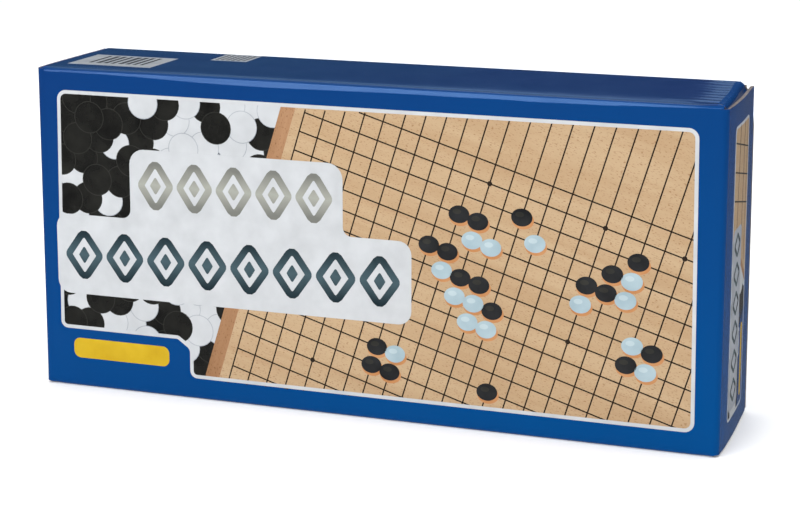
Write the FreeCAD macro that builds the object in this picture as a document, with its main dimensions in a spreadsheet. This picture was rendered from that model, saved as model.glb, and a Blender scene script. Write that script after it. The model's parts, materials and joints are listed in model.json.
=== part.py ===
import FreeCAD, Part
import math
import os
import Sketcher

# A boxed go set: a tuck-end carton of fluted board, standing on its long narrow side, which holds a
# folding go board whose two halves each carry a stone drawer. Millimetres, +Z up. X runs along the
# carton, -Y is its printed front, and the origin is the middle of the face that it stands on.
# The board lies folded with its playing faces outwards, its hinges up and its drawers down.

SIZES = {
    # carton, outside, and the board that it is folded from
    "carton_length": 310.0,
    "carton_depth": 65.0,
    "carton_height": 146.0,
    "sheet": 1.5,
    "crease_inner": 0.75,
    "crease_gap": 0.3,
    "glue_width": 15.0,
    "glue_line": 0.1,
    "glue_setback": 28.0,
    "glue_slant": 9.0,
    # end closures, their tabs and the dust flaps under them
    "end_drop": 1.8,
    "tab_length": 12.0,
    "tab_inset": 8.0,
    "tab_taper": 9.0,
    "tab_corner": 5.0,
    "tab_lean": 9.0,
    "dust_length": 50.0,
    "dust_side_gap": 0.5,
    "dust_shoulder": 2.0,
    "dust_relief": 6.0,
    "dust_lead": 0.5,
    "dust_lead_margin": 2.0,
    "dust_corner": 4.0,
    # folded go board
    "end_room": 5.0,
    "hinge_room": 0.6,
    "tab_room": 0.3,
    "game_play": 0.4,
    "game_seat": 0.3,
    "fold_gap": 0.4,
    "plate": 7.0,
    "plate_round": 1.0,
    "game_corner": 6.0,
    "rail": 9.0,
    "groove_width": 1.5,
    "groove_depth": 1.5,
    "base_ply": 3.0,
    "rebate": 4.0,
    "panel_gap": 0.2,
    # stone drawers
    "drawer_front": 8.0,
    "drawer_end_room": 4.5,
    "drawer_side": 5.0,
    "drawer_back": 5.0,
    "drawer_ply": 2.0,
    "drawer_play": 0.4,
    "drawer_headroom": 1.0,
    "notch_radius": 8.0,
    "stones_side_room": 17.6,
    "stones_top_room": 2.9,
    "stones_end_room": 24.7,
    "stones_round": 12.0,
    "stones_gap": 0.3,
    # fold hinges
    "hinge_spread": 85.0,
    "leaf_length": 30.0,
    "leaf_width": 12.0,
    "leaf": 1.2,
    "leaf_gap": 0.1,
    "knuckle_radius": 1.9,
    "centre_knuckle": 9.8,
    "pin_radius": 0.9,
    "pin_fit": 0.05,
    "screw_radius": 1.0,
    "screw_fit": 0.05,
    "screw_length": 7.0,
    "screw_head_radius": 1.8,
    "screw_head": 0.7,
    "screw_pitch": 18.0,
    "screw_edge": 4.0,
    # rules
    "rules_length": 148.0,
    "rules_height": 105.0,
    "rules_paper": 0.3,
    "rules_fold": 0.9,
    "rules_gap": 0.25,
}

# Places that several pieces share, as expressions on the sheet.
NOSE = "(Sizes.sheet/2)"
CREASE = "(Sizes.sheet/2 + Sizes.crease_gap)"
END_X = "(Sizes.carton_length/2)"
CLOSURE_X = "(Sizes.carton_length/2 - Sizes.sheet/2)"
DUST_X = "(Sizes.carton_length/2 - 3*Sizes.sheet/2 - Sizes.crease_gap)"
FRONT_Y = "(-Sizes.carton_depth/2)"
BACK_Y = "(Sizes.carton_depth/2)"
INNER_BACK_Y = "(Sizes.carton_depth/2 - Sizes.sheet)"
CLOSURE_HINGE_Y = "(-Sizes.carton_depth/2 + Sizes.sheet/2)"
TAB_HINGE_Y = "(Sizes.carton_depth/2 - 3*Sizes.sheet/2 - Sizes.crease_gap)"
TOP_Z = "Sizes.carton_height"
DUST_HINGE_Z = "(Sizes.carton_height - Sizes.sheet/2)"
CLOSURE_HEIGHT = "(Sizes.carton_height - 2*Sizes.end_drop)"
DUST_HALF = "(Sizes.carton_depth/2 - Sizes.sheet - Sizes.dust_side_gap)"
GLUE_Y = "(Sizes.carton_depth/2 - Sizes.sheet - Sizes.glue_line)"

GAME_X = "(Sizes.carton_length/2 - Sizes.end_room)"
PLAY_Y = "(-Sizes.carton_depth/2 + Sizes.sheet + Sizes.game_play)"
PLATE_Y = f"({PLAY_Y} + Sizes.plate)"
TAB_TIP = "(Sizes.tab_length*sin(Sizes.tab_lean*1deg) + Sizes.sheet/2*cos(Sizes.tab_lean*1deg))"
GAME_BACK_Y = f"({TAB_HINGE_Y} - {TAB_TIP} - Sizes.tab_room)"
HALF_DEPTH = f"(({GAME_BACK_Y} - {PLAY_Y} - Sizes.fold_gap)/2)"
UNDER_Y = f"({PLAY_Y} + {HALF_DEPTH})"
FOLD_Y = f"({UNDER_Y} + Sizes.fold_gap/2)"
GAME_Z = "(Sizes.sheet + Sizes.game_seat)"
KNUCKLE_RISE = "(2*Sizes.knuckle_radius - Sizes.leaf)"
GAME_TOP = f"(Sizes.carton_height - Sizes.sheet - Sizes.hinge_room - {KNUCKLE_RISE})"
RAIL_X = f"({GAME_X} - Sizes.rail)"
RAIL_Z = f"({GAME_TOP} - Sizes.rail)"
CAVITY_Y = f"({UNDER_Y} - Sizes.base_ply)"
DRAWER_X = f"({RAIL_X} - Sizes.drawer_play)"
TRAY_X = f"({DRAWER_X} - Sizes.drawer_side)"
TRAY_Y = f"({PLATE_Y} + Sizes.drawer_headroom)"
TRAY_BASE_Y = f"({CAVITY_Y} - Sizes.drawer_play)"
TRAY_Z = f"({GAME_Z} + Sizes.drawer_front)"
LEAF_Z = f"({GAME_TOP} - Sizes.leaf)"
PIN_Z = f"({LEAF_Z} + Sizes.knuckle_radius)"
LEAF_EDGE_Y = f"({FOLD_Y} - Sizes.leaf_width)"
SCREW_Y = f"({LEAF_EDGE_Y} + Sizes.screw_edge)"

TINY = 1e-4

doc = FreeCAD.newDocument("BoxedGoSet")
sizes = doc.addObject("Spreadsheet::Sheet", "Sizes")
nodes = []


def fill_sheet():
    """Puts each driving dimension in a cell of its own, with its name as the alias."""
    for row, (alias, value) in enumerate(SIZES.items(), start=1):
        sizes.set(f"A{row}", alias)
        sizes.set(f"B{row}", str(value))
        sizes.setAlias(f"B{row}", alias)
    doc.recompute()


def keep(piece, label):
    """Names a finished sub-part, so that it is written to a file of its own."""
    piece.Label = label
    nodes.append(piece)
    return piece


# Sketches and features


def new_sketch(body, name, plane, offset):
    """A sketch on one of the body's own origin planes, moved along that plane's normal."""
    sketch = body.newObject("Sketcher::SketchObject", name)
    support = [f for f in body.Origin.OriginFeatures if f.Role == plane][0]
    sketch.AttachmentSupport = [(support, "")]
    sketch.MapMode = "FlatFace"
    sketch.setExpression("AttachmentOffset.Base.z", offset)
    return sketch


def bind(sketch, kind, place, start, expression):
    """Adds a sketch constraint that follows an expression on the sheet.

    place is the constrained geometry and point, and start the size that it is drawn with.
    """
    index = sketch.addConstraint(Sketcher.Constraint(kind, *place, start))
    sketch.setExpression(f"Constraints[{index}]", expression)


def ring(count):
    """Starting points for the corners of a sketch, which its constraints then move into place."""
    turns = [2 * math.pi * (i + 0.5) / count for i in range(count)]
    return [FreeCAD.Vector(50 * math.cos(a), 50 * math.sin(a), 0) for a in turns]


def outline(body, name, plane, corners, offset="0"):
    """A closed straight-sided sketch whose corners are pairs of expressions."""
    sketch = new_sketch(body, name, plane, offset)
    points = ring(len(corners))
    for i, start in enumerate(points):
        sketch.addGeometry(Part.LineSegment(start, points[(i + 1) % len(points)]))
    for i, (across, up) in enumerate(corners):
        after = (i + 1) % len(corners)
        sketch.addConstraint(Sketcher.Constraint("Coincident", i, 2, after, 1))
        bind(sketch, "DistanceX", (i, 1), points[i].x, across)
        bind(sketch, "DistanceY", (i, 1), points[i].y, up)
    return sketch


def rectangle(body, name, plane, low, high, offset="0"):
    """A rectangular sketch between two corners, each a pair of expressions."""
    corners = [low, (high[0], low[1]), high, (low[0], high[1])]
    return outline(body, name, plane, corners, offset)


def circles(body, name, plane, centres, radius, offset="0"):
    """A sketch of equal circles whose centres are pairs of expressions."""
    sketch = new_sketch(body, name, plane, offset)
    for i, (centre, (across, up)) in enumerate(zip(ring(len(centres)), centres)):
        sketch.addGeometry(Part.Circle(centre, FreeCAD.Vector(0, 0, 1), 1.0))
        bind(sketch, "DistanceX", (i, 3), centre.x, across)
        bind(sketch, "DistanceY", (i, 3), centre.y, up)
        bind(sketch, "Radius", (i,), 1.0, radius)
    return sketch


def pad(body, sketch, length, midplane=False):
    """Adds material over a sketch, along its normal or to both sides of it."""
    feature = body.newObject("PartDesign::Pad", f"{sketch.Name}_pad")
    feature.Profile = sketch
    feature.setExpression("Length", length)
    feature.SideType = 2 if midplane else 0
    doc.recompute()
    return feature


def pocket(body, sketch, length=None, reversed_way=False):
    """Removes material under a sketch, for a length against its normal or right through."""
    before = body.Shape.Volume
    feature = body.newObject("PartDesign::Pocket", f"{sketch.Name}_pocket")
    feature.Profile = sketch
    feature.Reversed = reversed_way
    if length:
        feature.setExpression("Length", length)
    else:
        feature.Type = "ThroughAll"
        feature.SideType = 2
    doc.recompute()
    if body.Shape.Volume > before - TINY:
        raise RuntimeError(f"{sketch.Name} cut nothing")
    return feature


def fillet(body, name, radius, sketch, corners):
    """Rounds the edges that were raised over those corners of a sketch, counted from 0."""
    normal = sketch.Placement.Rotation.multVec(FreeCAD.Vector(0, 0, 1))
    origins = [
        sketch.Placement.multVec(sketch.getPoint(corner, 1)) for corner in corners
    ]
    edges = []
    for number, edge in enumerate(body.Shape.Edges, start=1):
        ends = [vertex.Point for vertex in edge.Vertexes]
        for origin in origins:
            if len(ends) == 2 and all(end.distanceToLine(origin, normal) < TINY for end in ends):
                edges.append(f"Edge{number}")
    return round_edges(body, name, radius, edges, len(corners))


def fillet_rim(body, name, radius, side, along):
    """Rounds the edges along one axis (0, 1 or 2) that lie on the body's lowest face on another."""
    low = (body.Shape.BoundBox.XMin, body.Shape.BoundBox.YMin, body.Shape.BoundBox.ZMin)[side]
    edges = []
    for number, edge in enumerate(body.Shape.Edges, start=1):
        first, last = edge.Vertexes[0].Point, edge.Vertexes[-1].Point
        step = last - first
        straight = abs(abs(step[along]) - step.Length) < TINY < step.Length
        if straight and abs(first[side] - low) < TINY:
            edges.append(f"Edge{number}")
    return round_edges(body, name, radius, edges, 2)


def round_edges(body, name, radius, edges, expected):
    """A fillet on the named edges, which fails when fewer were found than expected."""
    if len(edges) < expected:
        raise RuntimeError(f"{name} found {len(edges)} edges for {expected} places")
    base = body.Tip
    feature = body.newObject("PartDesign::Fillet", name)
    feature.Base = (base, edges)
    feature.setExpression("Radius", radius)
    doc.recompute()
    return feature


def new_body(name):
    return doc.addObject("PartDesign::Body", name)


def mirrored(source, name, normal, base=None):
    """A mirror image of a piece, across a plane with that normal.

    base is the property and the expression that move the plane off the origin.
    """
    copy = doc.addObject("Part::Mirroring", name)
    copy.Source = source
    copy.Normal = normal
    if base:
        copy.setExpression(*base)
    doc.recompute()
    return copy


def block(name, low, high):
    """A plain squared piece between two corners, each three expressions."""
    box = doc.addObject("Part::Box", name)
    for side, a, b in zip(("Length", "Width", "Height"), low, high):
        box.setExpression(side, f"{b} - {a}")
    for axis, a in zip("xyz", low):
        box.setExpression(f"Placement.Base.{axis}", a)
    doc.recompute()
    return box


def group(name, pieces):
    """Identical pieces kept as one sub-part of separate solids."""
    compound = doc.addObject("Part::Compound", name)
    compound.Links = pieces
    doc.recompute()
    return compound


LEFT_RIGHT = FreeCAD.Vector(1, 0, 0)
FRONT_BACK = FreeCAD.Vector(0, 1, 0)
TOP_BOTTOM = FreeCAD.Vector(0, 0, 1)
ACROSS_FOLD = ("Base.y", FOLD_Y)
ACROSS_MIDDLE = ("Base.z", "Sizes.carton_height/2")


# The carton


def carton_sleeve():
    """The four walls, folded from one sheet and closed by a glue flap inside the back wall."""
    body = new_body("Sleeve")
    inner_glue_y = f"({GLUE_Y} - Sizes.sheet)"
    inner_front_y = f"({FRONT_Y} + Sizes.sheet)"
    inner_top = f"({TOP_Z} - Sizes.sheet)"
    wrap = [
        (BACK_Y, "0"),
        (BACK_Y, TOP_Z),
        (FRONT_Y, TOP_Z),
        (FRONT_Y, "0"),
        (GLUE_Y, "0"),
        (GLUE_Y, "Sizes.glue_width"),
        (inner_glue_y, "Sizes.glue_width"),
        (inner_glue_y, "Sizes.sheet"),
        (inner_front_y, "Sizes.sheet"),
        (inner_front_y, inner_top),
        (INNER_BACK_Y, inner_top),
        (INNER_BACK_Y, "0"),
    ]
    sketch = outline(body, "Wrap", "YZ_Plane", wrap)
    pad(body, sketch, f"2*{DUST_X}", midplane=True)
    fillet(body, "OuterCreases", "Sizes.crease_inner + Sizes.sheet", sketch, [1, 2, 3, 4])
    fillet(body, "InnerCreases", "Sizes.crease_inner", sketch, [7, 8, 9, 10])
    for side in ("", "-"):
        name = "Right" if side == "" else "Left"
        trim_glue_flap(body, name, side)
        end_walls(body, name, side)
    dust_noses(body)
    keep(body, "carton_sleeve")


def trim_glue_flap(body, name, side):
    """Cuts the glue flap back from the end on a slant, clear of the tuck tab."""
    start = f"{side}({END_X} - Sizes.glue_setback)"
    slanted = f"{side}({END_X} - Sizes.glue_setback - Sizes.glue_slant)"
    end = f"{side}{END_X}"
    above = "(Sizes.glue_width + 1)"
    corners = [(start, "Sizes.sheet"), (slanted, above), (end, above), (end, "Sizes.sheet")]
    face = f"-({INNER_BACK_Y} - Sizes.glue_line/2)"
    sketch = outline(body, f"{name}GlueTrim", "XZ_Plane", corners, offset=face)
    pocket(body, sketch, "2*Sizes.sheet + Sizes.crease_inner", reversed_way=True)


def end_walls(body, name, side):
    """Carries the front wall out to the closure's crease, and the back wall out to its cut edge."""
    start = f"{side}({DUST_X} - Sizes.sheet)"
    crease = f"{side}{CLOSURE_X}"
    front = rectangle(
        body,
        f"{name}FrontEnd",
        "XY_Plane",
        (start, FRONT_Y),
        (crease, f"({FRONT_Y} + Sizes.sheet)"),
        offset="Sizes.end_drop",
    )
    pad(body, front, CLOSURE_HEIGHT)
    nose = circles(
        body,
        f"{name}FrontNose",
        "XY_Plane",
        [(crease, CLOSURE_HINGE_Y)],
        NOSE,
        offset="Sizes.end_drop",
    )
    pad(body, nose, CLOSURE_HEIGHT)
    back = rectangle(
        body,
        f"{name}BackEnd",
        "XY_Plane",
        (start, INNER_BACK_Y),
        (f"{side}{END_X}", BACK_Y),
        offset="Sizes.end_drop",
    )
    pad(body, back, CLOSURE_HEIGHT)


def dust_noses(body):
    """Rounds the ends of the top and bottom walls, where the dust flaps crease."""
    ends = [
        (f"{side}{DUST_X}", height)
        for side in ("", "-")
        for height in (DUST_HINGE_Z, NOSE)
    ]
    pad(body, circles(body, "DustNoses", "XZ_Plane", ends, NOSE), f"2*{DUST_HALF}", midplane=True)


def end_closures():
    """The end panel that turns on the front wall's end, at both ends of the carton."""
    body = new_body("Closure")
    panel = rectangle(
        body,
        "ClosurePanel",
        "XY_Plane",
        (f"({CLOSURE_X} - {NOSE})", f"({CLOSURE_HINGE_Y} + {CREASE})"),
        (END_X, TAB_HINGE_Y),
        offset="Sizes.end_drop",
    )
    pad(body, panel, CLOSURE_HEIGHT)
    nose = circles(
        body,
        "ClosureNose",
        "XY_Plane",
        [(CLOSURE_X, TAB_HINGE_Y)],
        NOSE,
        offset="Sizes.end_drop",
    )
    pad(body, nose, CLOSURE_HEIGHT)
    keep(body, "right_closure")
    keep(mirrored(body, "LeftClosure", LEFT_RIGHT), "left_closure")


def tuck_tabs():
    """The tab on each closure's free edge, which leans in so that it clears the back wall."""
    body = new_body("TuckTab")
    low = "(Sizes.end_drop + Sizes.tab_inset)"
    high = f"({TOP_Z} - {low})"
    tip = "(-Sizes.tab_length)"
    corners = [
        (f"(-{CREASE})", low),
        (f"(-{CREASE})", high),
        (tip, f"({high} - Sizes.tab_taper)"),
        (tip, f"({low} + Sizes.tab_taper)"),
    ]
    sketch = outline(body, "Tab", "XZ_Plane", corners)
    pad(body, sketch, "Sizes.sheet", midplane=True)
    fillet(body, "TabCorners", "Sizes.tab_corner", sketch, [2, 3])
    body.Placement.Rotation = FreeCAD.Rotation(FreeCAD.Vector(0, 0, 1), 1.0)
    body.setExpression("Placement.Rotation.Angle", "Sizes.tab_lean")
    body.setExpression("Placement.Base.x", CLOSURE_X)
    body.setExpression("Placement.Base.y", TAB_HINGE_Y)
    doc.recompute()
    keep(body, "right_tuck_tab")
    keep(mirrored(body, "LeftTuckTab", LEFT_RIGHT), "left_tuck_tab")


def dust_flaps():
    """The four flaps under the closures. Each has a long lead on the side where its closure turns,
    so that it can open at dust_lead times the closure's angle, and a relief for the tuck tab."""
    body = new_body("DustFlap")
    root = f"({DUST_HINGE_Z} - {CREASE})"
    shoulder = f"({DUST_HINGE_Z} - Sizes.dust_shoulder)"
    tip = f"({DUST_HINGE_Z} - Sizes.dust_length)"
    relief = f"({DUST_HALF} - Sizes.dust_relief)"
    lead = f"({CLOSURE_HINGE_Y} + Sizes.dust_lead*Sizes.dust_length + Sizes.dust_lead_margin)"
    corners = [
        (f"(-{DUST_HALF})", root),
        (DUST_HALF, root),
        (DUST_HALF, shoulder),
        (relief, f"({shoulder} - Sizes.dust_relief)"),
        (relief, tip),
        (lead, tip),
    ]
    face = f"({DUST_X} - {NOSE})"
    sketch = outline(body, "Flap", "YZ_Plane", corners, offset=face)
    pad(body, sketch, "Sizes.sheet")
    fillet(body, "FlapCorners", "Sizes.dust_corner", sketch, [4, 5])
    keep(body, "right_top_dust_flap")
    keep(mirrored(body, "LeftTopFlap", LEFT_RIGHT), "left_top_dust_flap")
    low = mirrored(body, "RightBottomFlap", TOP_BOTTOM, ACROSS_MIDDLE)
    keep(low, "right_bottom_dust_flap")
    keep(mirrored(low, "LeftBottomFlap", LEFT_RIGHT), "left_bottom_dust_flap")


# The folding board


def playing_boards():
    """The grid board of each half, with its two outer corners rounded."""
    body = new_body("PlayingBoard")
    low = (f"(-{GAME_X})", GAME_Z)
    face = rectangle(body, "Face", "XZ_Plane", low, (GAME_X, GAME_TOP), offset=f"-{PLATE_Y}")
    pad(body, face, "Sizes.plate")
    fillet(body, "OuterCorners", "Sizes.game_corner", face, [0, 1])
    fillet_rim(body, "FaceEdges", "Sizes.plate_round", side=1, along=0)
    keep(body, "front_playing_board")
    keep(mirrored(body, "BackBoard", FRONT_BACK, ACROSS_FOLD), "back_playing_board")


def fold_rails():
    """The rail of each half along the fold, let in for the hinge leaves and bored for their screws."""
    body = new_body("FoldRail")
    groove_y = f"({PLATE_Y} + Sizes.groove_width)"
    section = [
        (PLATE_Y, RAIL_Z),
        (PLATE_Y, f"({GAME_TOP} - Sizes.groove_depth)"),
        (groove_y, f"({GAME_TOP} - Sizes.groove_depth)"),
        (groove_y, GAME_TOP),
        (UNDER_Y, GAME_TOP),
        (UNDER_Y, RAIL_Z),
    ]
    pad(body, outline(body, "Section", "YZ_Plane", section), f"2*{GAME_X}", midplane=True)
    reach = f"({RAIL_X} + Sizes.rebate)"
    step = f"({RAIL_Z} + Sizes.rebate)"
    low = (f"(-{reach})", CAVITY_Y)
    pocket(body, rectangle(body, "Rebate", "XY_Plane", low, (reach, UNDER_Y), step), "Sizes.rebate")
    for side in ("", "-"):
        name = "Right" if side == "" else "Left"
        end_groove = rectangle(
            body,
            f"{name}EndGroove",
            "XY_Plane",
            (f"{side}({GAME_X} - Sizes.groove_depth)", PLATE_Y),
            (f"{side}{GAME_X}", groove_y),
            offset=GAME_TOP,
        )
        pocket(body, end_groove, "Sizes.rail")
        mortise = rectangle(
            body,
            f"{name}Mortise",
            "XY_Plane",
            (
                f"{side}(Sizes.hinge_spread - Sizes.leaf_length/2 - Sizes.leaf_gap)",
                f"({LEAF_EDGE_Y} - Sizes.leaf_gap)",
            ),
            (f"{side}(Sizes.hinge_spread + Sizes.leaf_length/2 + Sizes.leaf_gap)", UNDER_Y),
            offset=GAME_TOP,
        )
        pocket(body, mortise, "Sizes.leaf + Sizes.leaf_gap")
    pilots = circles(
        body,
        "Pilots",
        "XY_Plane",
        screw_places(),
        "(Sizes.screw_radius + Sizes.screw_fit)",
        offset=GAME_TOP,
    )
    pocket(body, pilots, "Sizes.screw_length + 2*Sizes.leaf_gap")
    keep(body, "front_fold_rail")
    keep(mirrored(body, "BackFoldRail", FRONT_BACK, ACROSS_FOLD), "back_fold_rail")


def screw_places():
    """The four screws of the front half's leaves, as places on the rail's outer face."""
    half_pitch = "Sizes.screw_pitch/2"
    across = [
        f"{side}(Sizes.hinge_spread {step} {half_pitch})"
        for side in ("", "-")
        for step in ("+", "-")
    ]
    return [(x, SCREW_Y) for x in across]


def end_rails():
    """The rails at the two ends of each half, grooved under the grid board and rebated for the base."""
    body = new_body("EndRail")
    groove_x = f"({GAME_X} - Sizes.groove_depth)"
    groove_y = f"({PLATE_Y} + Sizes.groove_width)"
    groove_z = f"({GAME_Z} + Sizes.groove_depth)"
    full = rectangle(
        body, "Full", "XZ_Plane", (RAIL_X, GAME_Z), (GAME_X, RAIL_Z), offset=f"-{UNDER_Y}"
    )
    pad(body, full, f"{UNDER_Y} - {groove_y}")
    neck = rectangle(
        body, "Neck", "XZ_Plane", (RAIL_X, groove_z), (groove_x, RAIL_Z), offset=f"-{groove_y}"
    )
    pad(body, neck, "Sizes.groove_width")
    fillet(body, "OuterCorner", "Sizes.game_corner", full, [1])
    fillet(body, "NeckCorner", "Sizes.game_corner - Sizes.groove_depth", neck, [1])
    rebate = rectangle(
        body,
        "Rebate",
        "XY_Plane",
        (RAIL_X, CAVITY_Y),
        (f"({RAIL_X} + Sizes.rebate)", UNDER_Y),
        offset=RAIL_Z,
    )
    pocket(body, rebate, f"{RAIL_Z} - {TRAY_Z}")
    keep(body, "front_right_rail")
    keep(mirrored(body, "FrontLeftRail", LEFT_RIGHT), "front_left_rail")
    back = mirrored(body, "BackRightRail", FRONT_BACK, ACROSS_FOLD)
    keep(back, "back_right_rail")
    keep(mirrored(back, "BackLeftRail", LEFT_RIGHT), "back_left_rail")


def base_panels():
    """The thin panel under each half's drawer, let into the rails."""
    reach = f"({RAIL_X} + Sizes.rebate - Sizes.panel_gap)"
    low = (f"(-{reach})", CAVITY_Y, f"({TRAY_Z} + Sizes.panel_gap)")
    high = (reach, UNDER_Y, f"({RAIL_Z} + Sizes.rebate - Sizes.panel_gap)")
    panel = block("BasePanel", low, high)
    keep(panel, "front_base_panel")
    keep(mirrored(panel, "BackBasePanel", FRONT_BACK, ACROSS_FOLD), "back_base_panel")


def drawer_front():
    """A drawer's front, between the end rails, with half of a finger hole in its lower edge."""
    body = new_body("DrawerFront")
    groove_y = f"({PLATE_Y} + Sizes.groove_width)"
    face = rectangle(
        body,
        "Face",
        "XY_Plane",
        (f"(-{DRAWER_X})", groove_y),
        (DRAWER_X, UNDER_Y),
        offset=GAME_Z,
    )
    pad(body, face, "Sizes.drawer_front")
    notch = circles(body, "Notch", "XY_Plane", [("0", UNDER_Y)], "Sizes.notch_radius", GAME_Z)
    pocket(body, notch)
    return body


def stone_drawers():
    """The drawer of each half: the front one holds the black stones, the back one the white."""
    tray_top = f"({RAIL_Z} - Sizes.drawer_end_room)"
    back_z = f"({tray_top} - Sizes.drawer_back)"
    ply_y = f"({TRAY_BASE_Y} - Sizes.drawer_ply)"
    side = block("DrawerSide", (TRAY_X, TRAY_Y, TRAY_Z), (DRAWER_X, TRAY_BASE_Y, tray_top))
    far = block("DrawerBack", (f"(-{TRAY_X})", TRAY_Y, back_z), (TRAY_X, TRAY_BASE_Y, tray_top))
    floor = block("DrawerBase", (f"(-{TRAY_X})", ply_y, TRAY_Z), (TRAY_X, TRAY_BASE_Y, back_z))
    stones = packed_stones(ply_y, back_z)
    black = {
        "black_drawer_front": drawer_front(),
        "black_drawer_right_side": side,
        "black_drawer_left_side": mirrored(side, "DrawerLeftSide", LEFT_RIGHT),
        "black_drawer_back": far,
        "black_drawer_base": floor,
        "black_stones": stones,
    }
    for label, piece in black.items():
        keep(piece, label)
        white = label.replace("black", "white")
        keep(mirrored(piece, f"{piece.Name}White", FRONT_BACK, ACROSS_FOLD), white)


def packed_stones(floor_y, back_z):
    """The outer shape of one colour's stones as they lie in the drawer, in their bag."""
    body = new_body("Stones")
    near = f"({floor_y} - Sizes.stones_gap)"
    start = f"({TRAY_Z} + Sizes.stones_gap)"
    reach = f"({TRAY_X} - Sizes.stones_side_room)"
    low = (f"(-{reach})", start)
    high = (reach, f"({back_z} - Sizes.stones_end_room)")
    heap = rectangle(body, "Heap", "XZ_Plane", low, high, offset=f"-{near}")
    pad(body, heap, f"{near} - {TRAY_Y} - Sizes.stones_top_room")
    fillet(body, "HeapCorners", "Sizes.stones_round", heap, [0, 1, 2, 3])
    return body


# The fold hinges


def hinge_leaf(name, sign, knuckles):
    """One leaf of the right hinge, on the front half (sign -1) or the back half (sign 1).

    knuckles are the spans along the pin, as pairs of expressions, that the leaf is rolled over.
    """
    body = new_body(name)
    root_y = f"({FOLD_Y} + ({sign})*(Sizes.knuckle_radius + Sizes.leaf_gap))"
    edge_y = f"({FOLD_Y} + ({sign})*Sizes.leaf_width)"
    start = "(Sizes.hinge_spread - Sizes.leaf_length/2)"
    end = "(Sizes.hinge_spread + Sizes.leaf_length/2)"
    plate = rectangle(body, f"{name}Plate", "XY_Plane", (start, edge_y), (end, root_y), offset=LEAF_Z)
    pad(body, plate, "Sizes.leaf")
    for number, (low, high) in enumerate(knuckles, start=1):
        arm = rectangle(
            body, f"{name}Arm{number}", "XY_Plane", (low, edge_y), (high, FOLD_Y), offset=LEAF_Z
        )
        pad(body, arm, "Sizes.leaf")
        roll = circles(
            body, f"{name}Roll{number}", "YZ_Plane", [(FOLD_Y, PIN_Z)], "Sizes.knuckle_radius", low
        )
        pad(body, roll, f"{high} - {low}")
    bore_radius = "(Sizes.pin_radius + Sizes.pin_fit)"
    bore = circles(body, f"{name}Bore", "YZ_Plane", [(FOLD_Y, PIN_Z)], bore_radius, start)
    pocket(body, bore)
    holes = [
        (f"(Sizes.hinge_spread {step} Sizes.screw_pitch/2)", f"({FOLD_Y} + ({sign})*{reach})")
        for step in ("+", "-")
        for reach in ("(Sizes.leaf_width - Sizes.screw_edge)",)
    ]
    radius = "(Sizes.screw_radius + Sizes.screw_fit)"
    drilled = circles(body, f"{name}Holes", "XY_Plane", holes, radius, offset=GAME_TOP)
    pocket(body, drilled, "2*Sizes.leaf")
    return body


def fold_hinges():
    """Two brass butt hinges let into the fold rails, with their pins and screws."""
    start = "(Sizes.hinge_spread - Sizes.leaf_length/2)"
    end = "(Sizes.hinge_spread + Sizes.leaf_length/2)"
    low = "(Sizes.hinge_spread - Sizes.centre_knuckle/2)"
    high = "(Sizes.hinge_spread + Sizes.centre_knuckle/2)"
    outer = [(start, f"({low} - Sizes.leaf_gap)"), (f"({high} + Sizes.leaf_gap)", end)]
    leaves = {
        "front_hinge_leaves": hinge_leaf("FrontLeaf", -1, outer),
        "back_hinge_leaves": hinge_leaf("BackLeaf", 1, [(low, high)]),
    }
    for label, leaf in leaves.items():
        other = mirrored(leaf, f"{leaf.Name}Left", LEFT_RIGHT)
        keep(group(f"{leaf.Name}Pair", [leaf, other]), label)

    pin = doc.addObject("Part::Cylinder", "Pin")
    pin.setExpression("Radius", "Sizes.pin_radius")
    pin.setExpression("Height", "Sizes.leaf_length")
    pin.Placement.Rotation = FreeCAD.Rotation(FreeCAD.Vector(0, 1, 0), 90)
    pin.setExpression("Placement.Base.x", start)
    pin.setExpression("Placement.Base.y", FOLD_Y)
    pin.setExpression("Placement.Base.z", PIN_Z)
    doc.recompute()
    keep(group("PinPair", [pin, mirrored(pin, "PinLeft", LEFT_RIGHT)]), "hinge_pins")
    keep(hinge_screws(), "hinge_screws")


def hinge_screws():
    """The eight domed screws of the two hinges, each turned from one profile."""
    body = new_body("Screw")
    profile = [
        ("0", "(-Sizes.screw_length)"),
        ("Sizes.screw_radius", "(Sizes.screw_radius - Sizes.screw_length)"),
        ("Sizes.screw_radius", "0"),
        ("Sizes.screw_head_radius", "0"),
        ("(Sizes.screw_head_radius - Sizes.screw_head)", "Sizes.screw_head"),
        ("0", "Sizes.screw_head"),
    ]
    sketch = outline(body, "ScrewProfile", "XZ_Plane", profile)
    turned = body.newObject("PartDesign::Revolution", "ScrewTurned")
    turned.Profile = sketch
    turned.ReferenceAxis = (sketch, ["V_Axis"])
    turned.Angle = 360
    body.setExpression("Placement.Base.x", "Sizes.hinge_spread + Sizes.screw_pitch/2")
    body.setExpression("Placement.Base.y", SCREW_Y)
    body.setExpression("Placement.Base.z", GAME_TOP)
    doc.recompute()
    across_hinge = ("Base.x", "Sizes.hinge_spread")
    pair = group("ScrewPair", [body, mirrored(body, "Screw2", LEFT_RIGHT, across_hinge)])
    row = group("ScrewRow", [pair, mirrored(pair, "ScrewPair2", LEFT_RIGHT)])
    return group("Screws", [row, mirrored(row, "ScrewRow2", FRONT_BACK, ACROSS_FOLD)])


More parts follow.
